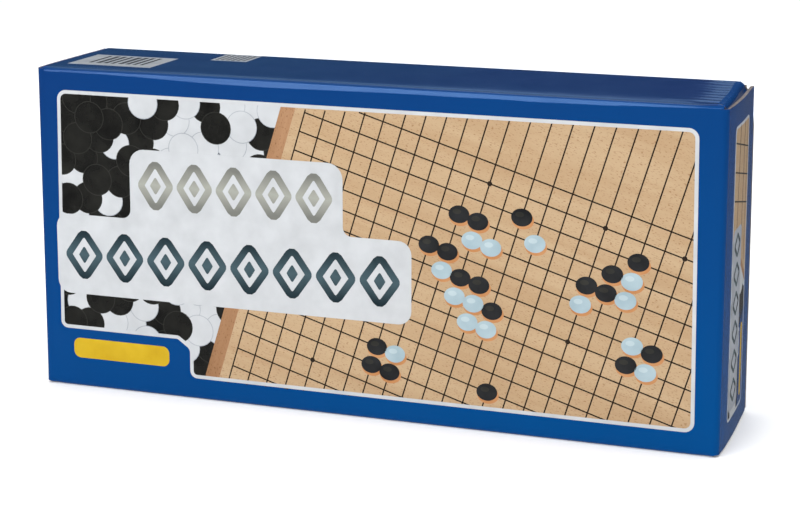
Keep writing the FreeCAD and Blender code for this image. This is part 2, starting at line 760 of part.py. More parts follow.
def rule_booklet():
    """The folded rule sheet, standing between the board and the carton's back wall."""
    body = new_body("Rules")
    near = f"({GAME_BACK_Y} + Sizes.rules_gap)"
    far = f"({near} + Sizes.rules_fold)"
    left = "(-Sizes.rules_length/2)"
    right = "(Sizes.rules_length/2)"
    spine = "(-Sizes.rules_length/2 + Sizes.rules_paper)"
    section = [
        (left, near),
        (right, near),
        (right, f"({near} + Sizes.rules_paper)"),
        (spine, f"({near} + Sizes.rules_paper)"),
        (spine, f"({far} - Sizes.rules_paper)"),
        (right, f"({far} - Sizes.rules_paper)"),
        (right, far),
        (left, far),
    ]
    lift = "(Sizes.carton_height/2 - Sizes.rules_height/2)"
    sketch = outline(body, "Folded", "XY_Plane", section, offset=lift)
    pad(body, sketch, "Sizes.rules_height")
    fillet(body, "Spine", "Sizes.rules_paper", sketch, [0, 7])
    keep(body, "rule_booklet")


def write_parts():
    """Checks every object and sub-part, then writes each sub-part to a STEP file of its own."""
    doc.recompute()
    for item in doc.Objects:
        if {"Invalid", "Error"} & set(item.State):
            raise RuntimeError(f"{item.Label} failed: {item.State}")
    os.makedirs("parts", exist_ok=True)
    for piece in nodes:
        shape = piece.Shape
        if shape.isNull() or not shape.isValid() or not shape.Solids:
            raise RuntimeError(f"{piece.Label} has no valid solid")
        shape.exportStep(f"parts/{piece.Label}.step")
        print(f"{piece.Label}: {len(shape.Solids)} solid(s), {shape.Volume:.0f} mm3")


fill_sheet()
carton_sleeve()
end_closures()
tuck_tabs()
dust_flaps()
playing_boards()
fold_rails()
end_rails()
base_panels()
stone_drawers()
fold_hinges()
rule_booklet()
write_parts()
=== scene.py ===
"""Looks of a boxed go set: a glossy tuck-end carton of fluted board, with a folding go board inside."""

from __future__ import annotations

import logging
import math
from collections.abc import Callable, Iterable, Sequence
from dataclasses import dataclass, field
from enum import Enum, IntEnum
from typing import Any

import bmesh
import bpy
from mathutils import Matrix, Vector, noise
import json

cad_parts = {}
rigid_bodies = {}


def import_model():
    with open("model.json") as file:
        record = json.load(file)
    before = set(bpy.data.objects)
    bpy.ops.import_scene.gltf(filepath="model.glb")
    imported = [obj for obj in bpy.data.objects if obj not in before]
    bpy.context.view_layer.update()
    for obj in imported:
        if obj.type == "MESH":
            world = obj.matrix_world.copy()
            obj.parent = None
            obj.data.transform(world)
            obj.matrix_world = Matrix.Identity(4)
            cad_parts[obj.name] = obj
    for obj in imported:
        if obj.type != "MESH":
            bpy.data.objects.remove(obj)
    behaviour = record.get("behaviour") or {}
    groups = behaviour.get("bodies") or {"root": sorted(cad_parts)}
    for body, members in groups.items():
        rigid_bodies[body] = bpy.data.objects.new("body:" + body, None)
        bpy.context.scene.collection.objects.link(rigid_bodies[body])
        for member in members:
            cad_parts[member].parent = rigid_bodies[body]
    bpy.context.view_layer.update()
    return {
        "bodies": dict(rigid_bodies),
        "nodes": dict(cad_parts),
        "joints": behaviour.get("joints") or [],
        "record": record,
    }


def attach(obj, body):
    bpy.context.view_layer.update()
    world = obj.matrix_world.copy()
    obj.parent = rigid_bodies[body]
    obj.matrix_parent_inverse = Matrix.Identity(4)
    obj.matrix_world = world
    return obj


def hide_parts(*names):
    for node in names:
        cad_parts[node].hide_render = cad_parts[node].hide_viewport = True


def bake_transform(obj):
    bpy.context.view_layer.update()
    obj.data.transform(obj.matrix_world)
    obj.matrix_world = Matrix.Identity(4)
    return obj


LOG = logging.getLogger("boxed_go_set")
MM = 0.001
TURN = 2 * math.pi
ROW_SHARE = math.sqrt(0.75)
SET = "boxed_set"
Colour = tuple[float, float, float, float]
Flat = tuple[float, float]
Place = tuple[float, float, float]
Places = tuple[float, ...]
Spots = tuple[tuple[int, int], ...]
Surface = Callable[[float, float, float], Vector]
Socket = bpy.types.NodeSocket
Material = bpy.types.Material
Mesh = bpy.types.Mesh
LooseMesh = bmesh.types.BMesh
Face = bmesh.types.BMFace
Choice = Callable[[Face], bool]
Ring = Sequence[bmesh.types.BMVert]


def ink(code: str) -> Colour:
    """Linear colour of a six-digit screen colour."""
    parts = [int(code[i:i + 2], 16) / 255 for i in (0, 2, 4)]
    return (*(c / 12.92 if c <= 0.04045 else ((c + 0.055) / 1.055) ** 2.4 for c in parts), 1.0)


def ease(low: float, high: float, value: float) -> float:
    """Smooth step from 0 at low to 1 at high."""
    share = min(1.0, max(0.0, (value - low) / (high - low)))
    return share * share * (3 - 2 * share)


class Drift(Enum):
    """A slow unevenness of the sheet: the seed of its noise, and its wavelengths along and across."""

    RIPPLE_LINES = (2.0, 7.0, 9.0)
    PRESS_LONG = (3.1, 17.0, 1.0)
    BACK_WALL = (5.0, 40.0, 18.0)
    PRESS_SHORT = (8.3, 4.0, 1.0)
    FILM = (11.0, 60.0, 50.0)
    RIPPLE_ENDS = (21.0, 6.0, 1.0)
    CLOSURE = (31.0, 40.0, 50.0)
    DUST_FLAP = (40.0, 12.0, 15.0)
    BROW = (51.0, 25.0, 1.0)

    def at(self, x: float, y: float = 0.0, more: float = 0.0) -> float:
        """Smooth noise between about -1 and 1, the same on every run, with more added to its seed."""
        seed, along, across = self.value
        return noise.noise(Vector((x / along, y / across, seed + more)))


class Way(Enum):
    """A direction, with its sign along one axis."""

    @property
    def label(self) -> str:
        """Name used in node and piece names."""
        return self.name.lower()


class Side(Way):
    """An end of the carton, with its sign along X."""

    RIGHT = 1
    LEFT = -1


class Edge(Way):
    """The long wall that a dust flap hangs from, with its sign along Z."""

    TOP = 1
    BOTTOM = -1


class Axis(IntEnum):
    """An axis of the set: X along it, Y front to back and Z up."""

    X = 0
    Y = 1
    Z = 2

    def unit(self) -> Vector:
        """Vector of length 1 along the axis."""
        return Vector([float(i == self) for i in range(3)])


class Sheet(IntEnum):
    """What a face of the carton's sheet shows, in the order of its materials."""

    FILM = 0
    TOP_FILM = 1
    LINER = 2
    CUT = 3


class Layer(Enum):
    """Height of a printed layer over the film, in millimetres."""

    GROUND = 0.010
    DISC_RIMS = 0.0145
    DISCS = 0.018
    WOOD = 0.064
    LINES = 0.071
    SHADES = 0.078
    STONES = 0.085
    SHINE = 0.091
    FRAME = 0.094
    PLAQUE = 0.097
    TILES = 0.103


# ------------------------ node helpers


class Nodes:
    """A node tree being put together."""

    def __init__(self, tree: bpy.types.NodeTree) -> None:
        """Starts on a tree."""
        self.tree = tree

    def link(self, source: Socket, target: Socket) -> None:
        """Joins an output to an input."""
        self.tree.links.new(source, target)

    def node(self, kind: str, inputs: dict[str | int, Any] | None = None, **settings: Any) -> bpy.types.Node:
        """Adds a node.

        Args:
            kind: Type of the node, without its first word where that is GeometryNode.
            inputs: A value or a linked socket for each named input.
            settings: Attributes of the node.

        Returns:
            The new node.
        """
        full = kind if kind.startswith(("ShaderNode", "FunctionNode")) else f"GeometryNode{kind}"
        made = self.tree.nodes.new(full)
        for key, value in settings.items():
            setattr(made, key, value)
        for key, value in (inputs or {}).items():
            if isinstance(value, Socket):
                self.link(value, made.inputs[key])
            else:
                made.inputs[key].default_value = value
        return made

    def add(self, kind: str, inputs: dict[str | int, Any] | None = None, **settings: Any) -> Socket:
        """Adds a node, as node does, and returns its first output."""
        return self.node(kind, inputs, **settings).outputs[0]

    def math(self, operation: str, *values: Any) -> Socket:
        """One sum on numbers or sockets."""
        return self.add("ShaderNodeMath", dict(enumerate(values)), operation=operation)

    def ramp(self, factor: Socket, *stops: tuple[float, Colour]) -> Socket:
        """Colour that runs through the stops."""
        made = self.node("ShaderNodeValToRGB", {0: factor})
        elements = made.color_ramp.elements
        while len(elements) < len(stops):
            elements.new(0.5)
        for element, (at, colour) in zip(elements, stops):
            element.position, element.color = at, colour
        return made.outputs[0]


class Shader(Nodes):
    """A material being put together around one Principled surface."""

    def __init__(self, name: str, **sockets: Any) -> None:
        """Starts a material.

        Args:
            name: Name of the material.
            sockets: Values set on the surface's own sockets, with _ for each space.
        """
        self.material = bpy.data.materials.new(name)
        self.material.use_nodes = True
        super().__init__(self.material.node_tree)
        self.surface = self.tree.nodes["Principled BSDF"]
        for socket, value in sockets.items():
            self.surface.inputs[socket.replace("_", " ")].default_value = value

    def place(self, scale: Place = (1, 1, 1), turn: Place = (0, 0, 0)) -> Socket:
        """Place on the object in millimetres, turned by some degrees about each axis and then stretched."""
        at = self.node("ShaderNodeTexCoord").outputs["Object"]
        turned = self.add("ShaderNodeMapping", {"Vector": at, "Rotation": [math.radians(a) for a in turn]})
        return self.add("ShaderNodeMapping", {"Vector": turned, "Scale": [s / MM for s in scale]})

    def axes(self) -> tuple[Socket, Socket, Socket]:
        """The three coordinates of the place, in millimetres."""
        out = self.node("ShaderNodeSeparateXYZ", {0: self.place()}).outputs
        return out[0], out[1], out[2]

    def noise(self, size: float, detail: float, scale: Place = (1, 1, 1), turn: Place = (0, 0, 0)) -> Socket:
        """Noise from 0 to 1 in blobs about size millimetres wide, with a number of finer layers."""
        place = self.place(scale, turn)
        return self.add("ShaderNodeTexNoise", {"Vector": place, "Scale": 1 / size, "Detail": detail})

    def centred(self, pattern: Socket, strength: float, middle: float = 0.0) -> Socket:
        """A pattern from 0 to 1 made to swing by a strength about a middle."""
        return self.math("MULTIPLY_ADD", pattern, strength, middle - strength / 2)

    def blend(self, first: Socket, second: Socket, share: float) -> Socket:
        """Two patterns added up, with the first one's share."""
        return self.math("MULTIPLY_ADD", first, share, self.math("MULTIPLY", second, 1 - share))

    def ridges(self, along: Socket, pitch: float) -> Socket:
        """Height from -1 to 1 of rounded ridges that repeat every pitch millimetres."""
        return self.math("SINE", self.math("MULTIPLY", along, TURN / pitch))

    def paint(self, colour: Socket) -> None:
        """Gives the surface its colour."""
        self.link(colour, self.surface.inputs["Base Color"])

    def polish(self, roughness: Socket) -> None:
        """Gives the surface its roughness."""
        self.link(roughness, self.surface.inputs["Roughness"])

    def emboss(self, height: Socket, depth: float) -> None:
        """Gives the surface relief, depth in millimetres for a height of 1."""
        relief = self.add("ShaderNodeBump", {"Height": height, "Strength": 1.0, "Distance": depth * MM})
        self.link(relief, self.surface.inputs["Normal"])


class Tree(Nodes):
    """A Geometry Nodes tree being put together, with named inputs for its sizes."""

    def __init__(self, name: str) -> None:
        """Starts an empty tree of that name."""
        super().__init__(bpy.data.node_groups.new(name, "GeometryNodeTree"))
        for way in ("INPUT", "OUTPUT"):
            self.tree.interface.new_socket("Geometry", in_out=way, socket_type="NodeSocketGeometry")
        self.entry = self.tree.nodes.new("NodeGroupInput")
        self.exit = self.tree.nodes.new("NodeGroupOutput")
        self.identifiers: dict[str, str] = {}

    def sizes(self, *names: str, kind: str = "Float") -> list[Socket]:
        """Adds named inputs of one kind and returns their sockets."""
        for name in names:
            item = self.tree.interface.new_socket(name, in_out="INPUT", socket_type=f"NodeSocket{kind}")
            self.identifiers[name] = item.identifier
        return [self.entry.outputs[name] for name in names]

    def vector(self, x: Any = 0.0, y: Any = 0.0, z: Any = 0.0) -> Socket:
        """A vector from three numbers or sockets."""
        return self.add("ShaderNodeCombineXYZ", {0: x, 1: y, 2: z})

    def stray(self, reach: Place, seed: Socket) -> Socket:
        """A random vector for each point, up to reach either way."""
        low = tuple(-r for r in reach)
        return self.add("FunctionNodeRandomValue", {"Min": low, "Max": reach, "Seed": seed},
                        data_type="FLOAT_VECTOR")

    def rows(self, index: Socket, columns: Socket, pitch: Socket, first: Any = 0) -> list[Socket]:
        """A point's row, column, and place across and up in close-packed rows, the odd ones shifted."""
        row = self.math("FLOOR", self.math("DIVIDE", index, columns))
        column = self.math("SUBTRACT", index, self.math("MULTIPLY", row, columns))
        shift = self.math("MULTIPLY", self.math("MODULO", self.math("ADD", row, first), 2.0), 0.5)
        across = self.math("MULTIPLY", self.math("ADD", column, shift), pitch)
        up = self.math("MULTIPLY", row, self.math("MULTIPLY", pitch, ROW_SHARE))
        return [row, column, across, up]

    def close(self, geometry: Socket) -> None:
        """Ends the tree: real meshes, in the material that its last input names."""
        real = self.add("RealizeInstances", {"Geometry": geometry})
        material, = self.sizes("Material", kind="Material")
        self.link(self.add("SetMaterial", {"Geometry": real, "Material": material}), self.exit.inputs[0])

    def grow(self, material: Material, unit: float = MM, **sizes: Any) -> Mesh:
        """Runs the tree once.

        Args:
            material: What the result is made of.
            unit: What each length is multiplied by. A length is a float or a tuple of them.
            sizes: A value for each named input, with _ for each space.

        Returns:
            The result as a plain mesh.
        """
        carrier = put("carrier", bpy.data.meshes.new("carrier"))
        modifier = carrier.modifiers.new("grow", "NODES")
        modifier.node_group = self.tree
        modifier[self.identifiers["Material"]] = material
        for name, value in sizes.items():
            if isinstance(value, float):
                value *= unit
            elif isinstance(value, tuple):
                value = tuple(part * unit for part in value)
            modifier[self.identifiers[name.replace("_", " ")]] = value
        bpy.context.view_layer.update()
        graph = bpy.context.evaluated_depsgraph_get()
        mesh = bpy.data.meshes.new_from_object(carrier.evaluated_get(graph))
        carrier.modifiers.remove(modifier)
        bpy.data.objects.remove(carrier)
        return mesh


# ------------------------ finishes


@dataclass(frozen=True)
class Finish:
    """A finish that runs between two colours."""

    name: str
    dark: str
    pale: str

    def tinted(self, shader: Shader, share: Socket, low: float = 0.3, high: float = 0.7) -> Material:
        """The material, painted from dark to pale where a pattern runs from low to high."""
        shader.paint(shader.ramp(share, (low, ink(self.dark)), (high, ink(self.pale))))
        return shader.material


@dataclass(frozen=True)
class Film(Finish):
    """Glossy printed film, pressed down a little over the flutes of its board."""

    pitch: float = 3.2
    relief: float = 0.006
    swell: float = 6.0
    roughness: float = 0.2
    smears: float = 0.12
    gloss: float = 0.42
    sheen_tint: Colour = (1.0, 1.0, 1.0, 1.0)
    middle_share: float = 0.82
    share_along: float = 0.0012
    share_up: float = -0.0042

    def start(self) -> Shader:
        """The gloss and relief that every printed finish shares."""
        shader = Shader(self.name, Roughness=self.roughness, Specular_IOR_Level=self.gloss,
                        Specular_Tint=self.sheen_tint)
        _, y, z = shader.axes()
        flutes = shader.ridges(shader.math("ADD", y, z), self.pitch)
        swell = shader.noise(size=16.0, detail=1.0, scale=(0.3, 1, 1))
        shader.emboss(shader.math("MULTIPLY_ADD", swell, self.swell, flutes), self.relief)
        shader.polish(shader.centred(shader.noise(size=14.0, detail=4.0), self.smears, self.roughness))
        return shader

    def build(self) -> Material:
        """The finish as a material, darker towards the upper left."""
        shader = self.start()
        x, _, z = shader.axes()
        across = shader.math("MULTIPLY_ADD", x, self.share_along, self.middle_share)
        slope = shader.math("MULTIPLY_ADD", z, self.share_up, across)
        cloud = shader.centred(shader.noise(size=60.0, detail=2.0), 0.3)
        fine = shader.centred(shader.noise(size=0.9, detail=2.0), 0.16)
        return self.tinted(shader, shader.math("ADD", shader.math("ADD", slope, cloud), fine), 0.0, 1.0)


@dataclass(frozen=True)
class PlainInk(Film):
    """One printed colour under the same film, a little uneven."""

    def build(self) -> Material:
        """The finish as a material."""
        shader = self.start()
        return self.tinted(shader, shader.noise(size=9.0, detail=5.0))


@dataclass(frozen=True)
class WoodInk(Film):
    """Printed straight-grained wood, with fine dark pores along the grain."""

    middle: str = "808080"
    grain_turn: float = 0.0
    pore_strength: float = 0.75

    def build(self) -> Material:
        """The finish as a material."""
        shader = self.start()
        turn = (0.0, self.grain_turn, 0.0)
        bands = shader.noise(size=2.5, detail=3.0, scale=(0.04, 0.5, 0.5), turn=turn)
        pores = shader.noise(size=0.42, detail=1.0, scale=(0.32, 1.0, 1.0), turn=turn)
        base = shader.ramp(bands, (0.3, ink(self.middle)), (0.65, ink(self.pale)))
        specks = shader.ramp(pores, (0.30, (1, 1, 1, 1)), (0.40, (0, 0, 0, 1)))
        share = shader.math("MULTIPLY", specks, self.pore_strength)
        mixed = shader.node("ShaderNodeMix", {0: share, 6: base, 7: ink(self.dark)}, data_type="RGBA")
        shader.paint(mixed.outputs[2])
        return shader.material


@dataclass(frozen=True)
class BevelInk(Film):
    """Printed metal look that runs from dark through light and back to dark inside a band of places."""

    middle: float = 0.0
    spread: float = 10.0
    axis: Axis = Axis.Z

    def build(self) -> Material:
        """The finish as a material."""
        shader = self.start()
        off = shader.math("SUBTRACT", shader.axes()[self.axis], self.middle)
        share = shader.math("MULTIPLY_ADD", off, 0.5 / self.spread, 0.5)
        share = shader.math("ADD", share, shader.centred(shader.noise(size=7.0, detail=3.0), 0.2))
        dark = ink(self.dark)
        shader.paint(shader.ramp(share, (0.15, dark), (0.5, ink(self.pale)), (0.85, dark)))
        return shader.material


@dataclass(frozen=True)
class BoardPaper(Finish):
    """Grey-brown recycled paper, on the inside of the board and in its flutes."""

    pitch: float = 3.2
    relief: float = 0.03

    def build(self) -> Material:
        """The finish as a material."""
        shader = Shader(self.name, Roughness=0.88, Specular_IOR_Level=0.2)
        _, y, z = shader.axes()
        fibres = shader.noise(size=0.7, detail=6.0, scale=(0.3, 1, 1))
        flutes = shader.ridges(shader.math("ADD", y, z), self.pitch)
        shader.emboss(shader.math("MULTIPLY_ADD", fibres, 0.8, flutes), self.relief)
        return self.tinted(shader, shader.blend(shader.noise(size=12.0, detail=3.0), fibres, 0.4))


@dataclass(frozen=True)
class CutEdge(Finish):
    """Cut edge of the board, streaked by its papers and their shadows."""

    def build(self) -> Material:
        """The finish as a material."""
        shader = Shader(self.name, Roughness=0.9, Specular_IOR_Level=0.15)
        streak = shader.noise(size=0.45, detail=3.0)
        shader.emboss(streak, 0.15)
        share = shader.blend(streak, shader.noise(size=4.0, detail=4.0), 0.6)
        return self.tinted(shader, share, 0.36, 0.62)


class Grain(Enum):
    """The way that wood grain runs, as the stretch of its pattern along each axis."""

    ALONG_X = (0.03, 1.0, 1.0)
    ALONG_Z = (1.0, 1.0, 0.03)


@dataclass(frozen=True)
class Timber(Finish):
    """Solid or veneered wood under a thin satin lacquer."""

    grain: Grain
    ring: float = 3.0

    def build(self) -> Material:
        """The finish as a material."""
        shader = Shader(self.name, Roughness=0.42, Specular_IOR_Level=0.4, Coat_Weight=0.15,
                        Coat_Roughness=0.3)
        rings = shader.noise(size=self.ring, detail=5.0, scale=self.grain.value)
        pores = shader.noise(size=0.35, detail=2.0, scale=self.grain.value)
        share = shader.blend(pores, rings, 0.35)
        shader.emboss(share, 0.05)
        return self.tinted(shader, share, 0.34, 0.64)


@dataclass(frozen=True)
class Plies(Finish):
    """Thin plywood, with its layers showing where it is cut."""

    layer: float = 1.0

    def build(self) -> Material:
        """The finish as a material."""
        shader = Shader(self.name, Roughness=0.6, Specular_IOR_Level=0.3)
        layers = shader.ridges(shader.axes()[Axis.Y], 2 * self.layer)
        pores = shader.noise(size=0.6, detail=4.0, scale=Grain.ALONG_X.value)
        share = shader.math("MULTIPLY_ADD", layers, 0.08, pores)
        shader.emboss(share, 0.04)
        return self.tinted(shader, share, 0.32, 0.66)


@dataclass(frozen=True)
class Brass(Finish):
    """Plated brass with fine brush marks and a few darker specks."""

    def build(self) -> Material:
        """The finish as a material."""
        shader = Shader(self.name, Metallic=1.0, Roughness=0.3)
        brush = shader.noise(size=0.25, detail=3.0, scale=(0.05, 1, 1))
        shader.polish(shader.math("MULTIPLY_ADD", brush, 0.25, 0.2))
        shader.emboss(brush, 0.01)
        return self.tinted(shader, shader.noise(size=3.0, detail=4.0))


@dataclass(frozen=True)
class Mottled(Finish):
    """Polished stone or shell with faint bands, or white paper with its fibres."""

    roughness: float
    gloss: float = 0.5
    size: float = 1.6
    detail: float = 5.0
    stretch: Place = (1, 1, 0.3)
    relief: float = 0.02

    def build(self) -> Material:
        """The finish as a material."""
        shader = Shader(self.name, Roughness=self.roughness, Specular_IOR_Level=self.gloss)
        bands = shader.noise(self.size, self.detail, self.stretch)
        shader.emboss(bands, self.relief)
        return self.tinted(shader, bands)


class Finishes:
    """Every finish of the set, made once."""

    def __init__(self) -> None:
        """Makes the materials."""
        def plain(name: str, dark: str, pale: str) -> Material:
            """One printed colour."""
            return PlainInk(f"ink_{name}", dark, pale).build()

        blue = (0.2, 0.36, 0.64, 1.0)
        self.film = Film("printed_film", "0e3875", "004b8c", sheen_tint=blue).build()
        self.navy = Film("printed_film_top", "183f6b", "000d61", sheen_tint=blue).build()
        self.liner = BoardPaper("board_liner", "8d8274", "b7ac9d").build()
        self.cut = CutEdge("board_cut_edge", "57504d", "857d7b").build()
        self.flute = BoardPaper("board_flutes", "7b6a5a", "a3927f", relief=0.02).build()
        self.white = plain("white", "c5c8cb", "d1d4d7")
        self.black = plain("black", "131312", "262623")
        self.ground = plain("shadow", "0b0b0b", "1d1d1c")
        self.grey = plain("grey", "a4a9b1", "b9bec6")
        self.rim = plain("black_rim", "2b2b28", "383834")
        self.shade = plain("white_rim", "9aa0a8", "b4b9c0")
        self.bar = plain("bar", "4c5056", "5a5e64")
        self.label = plain("label", "a2a7ad", "b4b8be")
        self.wood = WoodInk("ink_wood", "9f7751", "c7aa86", middle="be9e79", grain_turn=-17.0).build()
        self.brown = WoodInk("ink_brown", "7d5638", "b58a66", middle="a27753", grain_turn=73.0).build()
        self.glow = plain("stone_shadow", "bd7f4c", "cb9262")
        self.line = plain("line", "241d17", "352b22")
        self.pale = plain("pale_stone", "9fb6c0", "b2c7cf")
        self.gleam = plain("pale_gleam", "b5c8ce", "c2d3d8")
        self.dark = plain("dark_stone", "1f2022", "2e2f31")
        self.yellow = plain("yellow", "cba416", "d9b522")
        self.silver = BevelInk("ink_silver", "7b7c76", "a9aaa1", middle=96.0, spread=13.0).build()
        self.teal = BevelInk("ink_teal", "1a2a31", "465c64", middle=62.0, spread=16.0).build()
        self.end_teal = BevelInk("ink_teal_end", "22333a", "52686f", middle=-6.5, spread=8.0,
                                 axis=Axis.Y).build()
        self.board = Timber("board_veneer", "b98a56", "dcb27a", Grain.ALONG_X).build()
        self.rail_x = Timber("rail_wood_long", "8b5f3c", "b58558", Grain.ALONG_X).build()
        self.rail_z = Timber("rail_wood_short", "8b5f3c", "b58558", Grain.ALONG_Z).build()
        self.drawer_x = Timber("drawer_wood_long", "b99468", "dabb92", Grain.ALONG_X, ring=4.0).build()
        self.drawer_z = Timber("drawer_wood_short", "b99468", "dabb92", Grain.ALONG_Z, ring=4.0).build()
        self.plywood = Plies("plywood", "b08a5e", "d9b98c").build()
        self.brass = Brass("hinge_brass", "8d6a2c", "d0a95a").build()
        self.black_stone = Mottled("stone_black", "0c0c0e", "26272a", 0.35).build()
        self.white_stone = Mottled("stone_white", "d5d3ca", "f1f0ea", 0.25).build()
        self.paper = Mottled("rules_paper", "dcdad2", "f2f1ec", 0.85, 0.2, 0.5, 6.0, (1, 1, 1), 0.01).build()


# ------------------------ mesh helpers


def put(name: str, data: Any) -> bpy.types.Object:
    """Puts a mesh, a camera or a lamp in the scene under a name."""
    made = bpy.data.objects.new(name, data)
    bpy.context.scene.collection.objects.link(made)
    return made


def shown(name: str, mesh: Mesh, body: str, slot: str, *nodes: str) -> None:
    """Puts a finished mesh in the scene as a piece of the set.

    Args:
        name: Name of the piece.
        mesh: Its mesh, in metres and in place.
        body: The body that it moves with.
        slot: The record's material slot; not used.
        nodes: CAD nodes that it stands for.
    """
    piece = put(name, mesh)
    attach(piece, body)
    if nodes:
        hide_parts(*nodes)
    LOG.info("%s: %d faces on %s", name, len(mesh.polygons), body)


def settled(bm: LooseMesh, name: str, materials: Iterable[Material], fold: float) -> Mesh:
    """Turns a mesh in millimetres into a finished one in metres, smooth up to an angle.

    Args:
        bm: The mesh, which is freed.
        name: Name of the result.
        materials: Its materials in order.
        fold: Angle in degrees past which an edge stays sharp.

    Returns:
        The finished mesh.
    """
    bmesh.ops.scale(bm, vec=(MM,) * 3, verts=bm.verts)
    for face in bm.faces:
        face.smooth = True
    for edge in bm.edges:
        edge.smooth = len(edge.link_faces) == 2 and edge.calc_face_angle(0.0) < math.radians(fold)
    mesh = bpy.data.meshes.new(name)
    bm.to_mesh(mesh)
    bm.free()
    for material in materials:
        mesh.materials.append(material)
    return mesh


def copied(node: bpy.types.Object) -> LooseMesh:
    """A merged copy of a CAD node in millimetres, with its flat faces whole again."""
    bm = bmesh.new()
    bm.from_mesh(node.data)
    bmesh.ops.scale(bm, vec=(1 / MM,) * 3, verts=bm.verts)
    bmesh.ops.remove_doubles(bm, verts=bm.verts, dist=0.002)
    bmesh.ops.dissolve_limit(bm, angle_limit=math.radians(0.5), verts=bm.verts[:], edges=bm.edges[:])
    return bm


def cut(bm: LooseMesh, axis: Axis, places: Iterable[float], among: Choice | None = None) -> None:
    """Cuts a mesh across one axis, so that it can bend there.

    Args:
        bm: The mesh, in millimetres.
        axis: The axis.
        places: Where the cuts go.
        among: Which faces are cut, or None for all.
    """
    way = axis.unit()
    for place in places:
        faces = [f for f in bm.faces if among is None or among(f)]
        verts = {v for f in faces for v in f.verts} if among else bm.verts[:]
        edges = {e for f in faces for e in f.edges} if among else bm.edges[:]
        parts = [*verts, *edges, *faces]
        bmesh.ops.bisect_plane(bm, geom=parts, dist=0.004, plane_co=way * place, plane_no=way)


def skinned(bm: LooseMesh, rings: Sequence[Ring], marks: Sequence[int] = (0, 0, 0)) -> None:
    """Closes a sheet whose rings of points each run along one face and back along the other.

    Args:
        bm: The mesh that the points are in.
        rings: The rings in order.
        marks: Material of the first face, the second face and the end edges.
    """
    count = len(rings[0])
    half = count // 2
    for low, high in zip(rings, rings[1:]):
        for i in range(count):
            after = (i + 1) % count
            face = bm.faces.new((low[i], low[after], high[after], high[i]))
            face.material_index = marks[1] if half <= i < count - 1 else marks[0]
    for ring in (rings[0], rings[-1]):
        for i in range(half - 1):
            face = bm.faces.new((ring[i], ring[i + 1], ring[count - 2 - i], ring[count - 1 - i]))
            face.material_index = marks[2]
    bmesh.ops.recalc_face_normals(bm, faces=bm.faces[:])


def frame_of(along: Vector, across: Vector, out: Vector, at: Vector) -> Matrix:
    """A frame at a place, with its X, Y and Z along three ways."""
    frame = Matrix((along, across, out)).transposed().to_4x4()
    frame.translation = at
    return frame


def steps(low: float, high: float, pitch: float) -> list[float]:
    """Even places from low to high, about pitch apart, without the two ends."""
    count = max(1, round((high - low) / pitch))
    return [low + (high - low) * i / count for i in range(1, count)]


def rounded(corners: Sequence[tuple[float, float, float]], turns: int = 6) -> list[Flat]:
    """A closed outline with rounded corners.

    Args:
        corners: Each corner's place and radius.
        turns: Points along each rounded corner, less one.

    Returns:
        The outline's points in order.
    """
    points: list[Flat] = []
    for i, (x, y, radius) in enumerate(corners):
        at = Vector((x, y))
        before = (Vector(corners[i - 1][:2]) - at).normalized()
        after = (Vector(corners[(i + 1) % len(corners)][:2]) - at).normalized()
        if radius <= 0:
            points.append((x, y))
            continue
        half = math.acos(max(-1.0, min(1.0, before.dot(after)))) / 2
        centre = at + (before + after).normalized() * (radius / math.sin(half))
        first = at + before * (radius / math.tan(half)) - centre
        last = at + after * (radius / math.tan(half)) - centre
        sweep = first.angle_signed(last)
        for k in range(turns + 1):
            spoke = first.copy()
            spoke.rotate(Matrix.Rotation(-sweep * k / turns, 2))
            points.append(tuple(centre + spoke))
    return points


def box_outline(low: Flat, high: Flat, radius: float) -> list[Flat]:
    """A rounded rectangle between two corners."""
    (x0, y0), (x1, y1) = low, high
    return rounded([(x0, y0, radius), (x1, y0, radius), (x1, y1, radius), (x0, y1, radius)])


def clipped(start: Vector, end: Vector, region: Sequence[Flat]) -> tuple[Vector, Vector] | None:
    """The part of a line inside a convex region.

    Args:
        start: One end.
        end: The other end.
        region: Corners of the region, anticlockwise.

    Returns:
        The two ends of that part, or None.
    """
    low, high, way = 0.0, 1.0, end - start
    for i, corner in enumerate(region):
        side = Vector(region[(i + 1) % len(region)]) - Vector(corner)
        inward = Vector((-side.y, side.x))
        speed, gap = inward.dot(way), inward.dot(start - Vector(corner))
        if abs(speed) < 1e-9:
            if gap < 0:
                return None
        elif speed > 0:
            low = max(low, -gap / speed)
        else:
            high = min(high, -gap / speed)
    return (start + way * low, start + way * high) if low < high else None


# ------------------------ carton


@dataclass(frozen=True)
class Ripples:
    """Small folds of the film beside the right end of the top wall, in millimetres."""

    start: float = 120.0
    length: float = 19.0
    length_stray: float = 9.0
    shortest: float = 3.0
    rim_gap: float = 3.4
    rim_slant: float = 2.6
    rim_fade: float = 1.0
    half_wall: float = 30.0
    pitch: float = 6.5
    sway: float = 1.1
    base: float = 0.06
    swing: float = 0.46
    fade: Flat = (26.5, 30.5)

    def depth(self, p: Vector, end: float) -> float:
        """How deep the folds are at a place on the top wall, for the X of the dust flap's outer face."""
        if p.x < self.start:
            return 0.0
        length = self.length + self.length_stray * Drift.RIPPLE_ENDS.at(p.y)
        rim = end - self.rim_gap - self.rim_slant * ease(-self.half_wall, self.half_wall, p.y)
        share = ease(rim - max(self.shortest, length), rim - self.rim_fade, p.x)
        across = p.y + self.sway * Drift.RIPPLE_LINES.at(p.x, p.y)
        wave = 0.5 + 0.5 * math.sin(TURN * across / self.pitch)
        return share * (self.base + self.swing * wave) * (1 - ease(*self.fade, abs(p.y)))


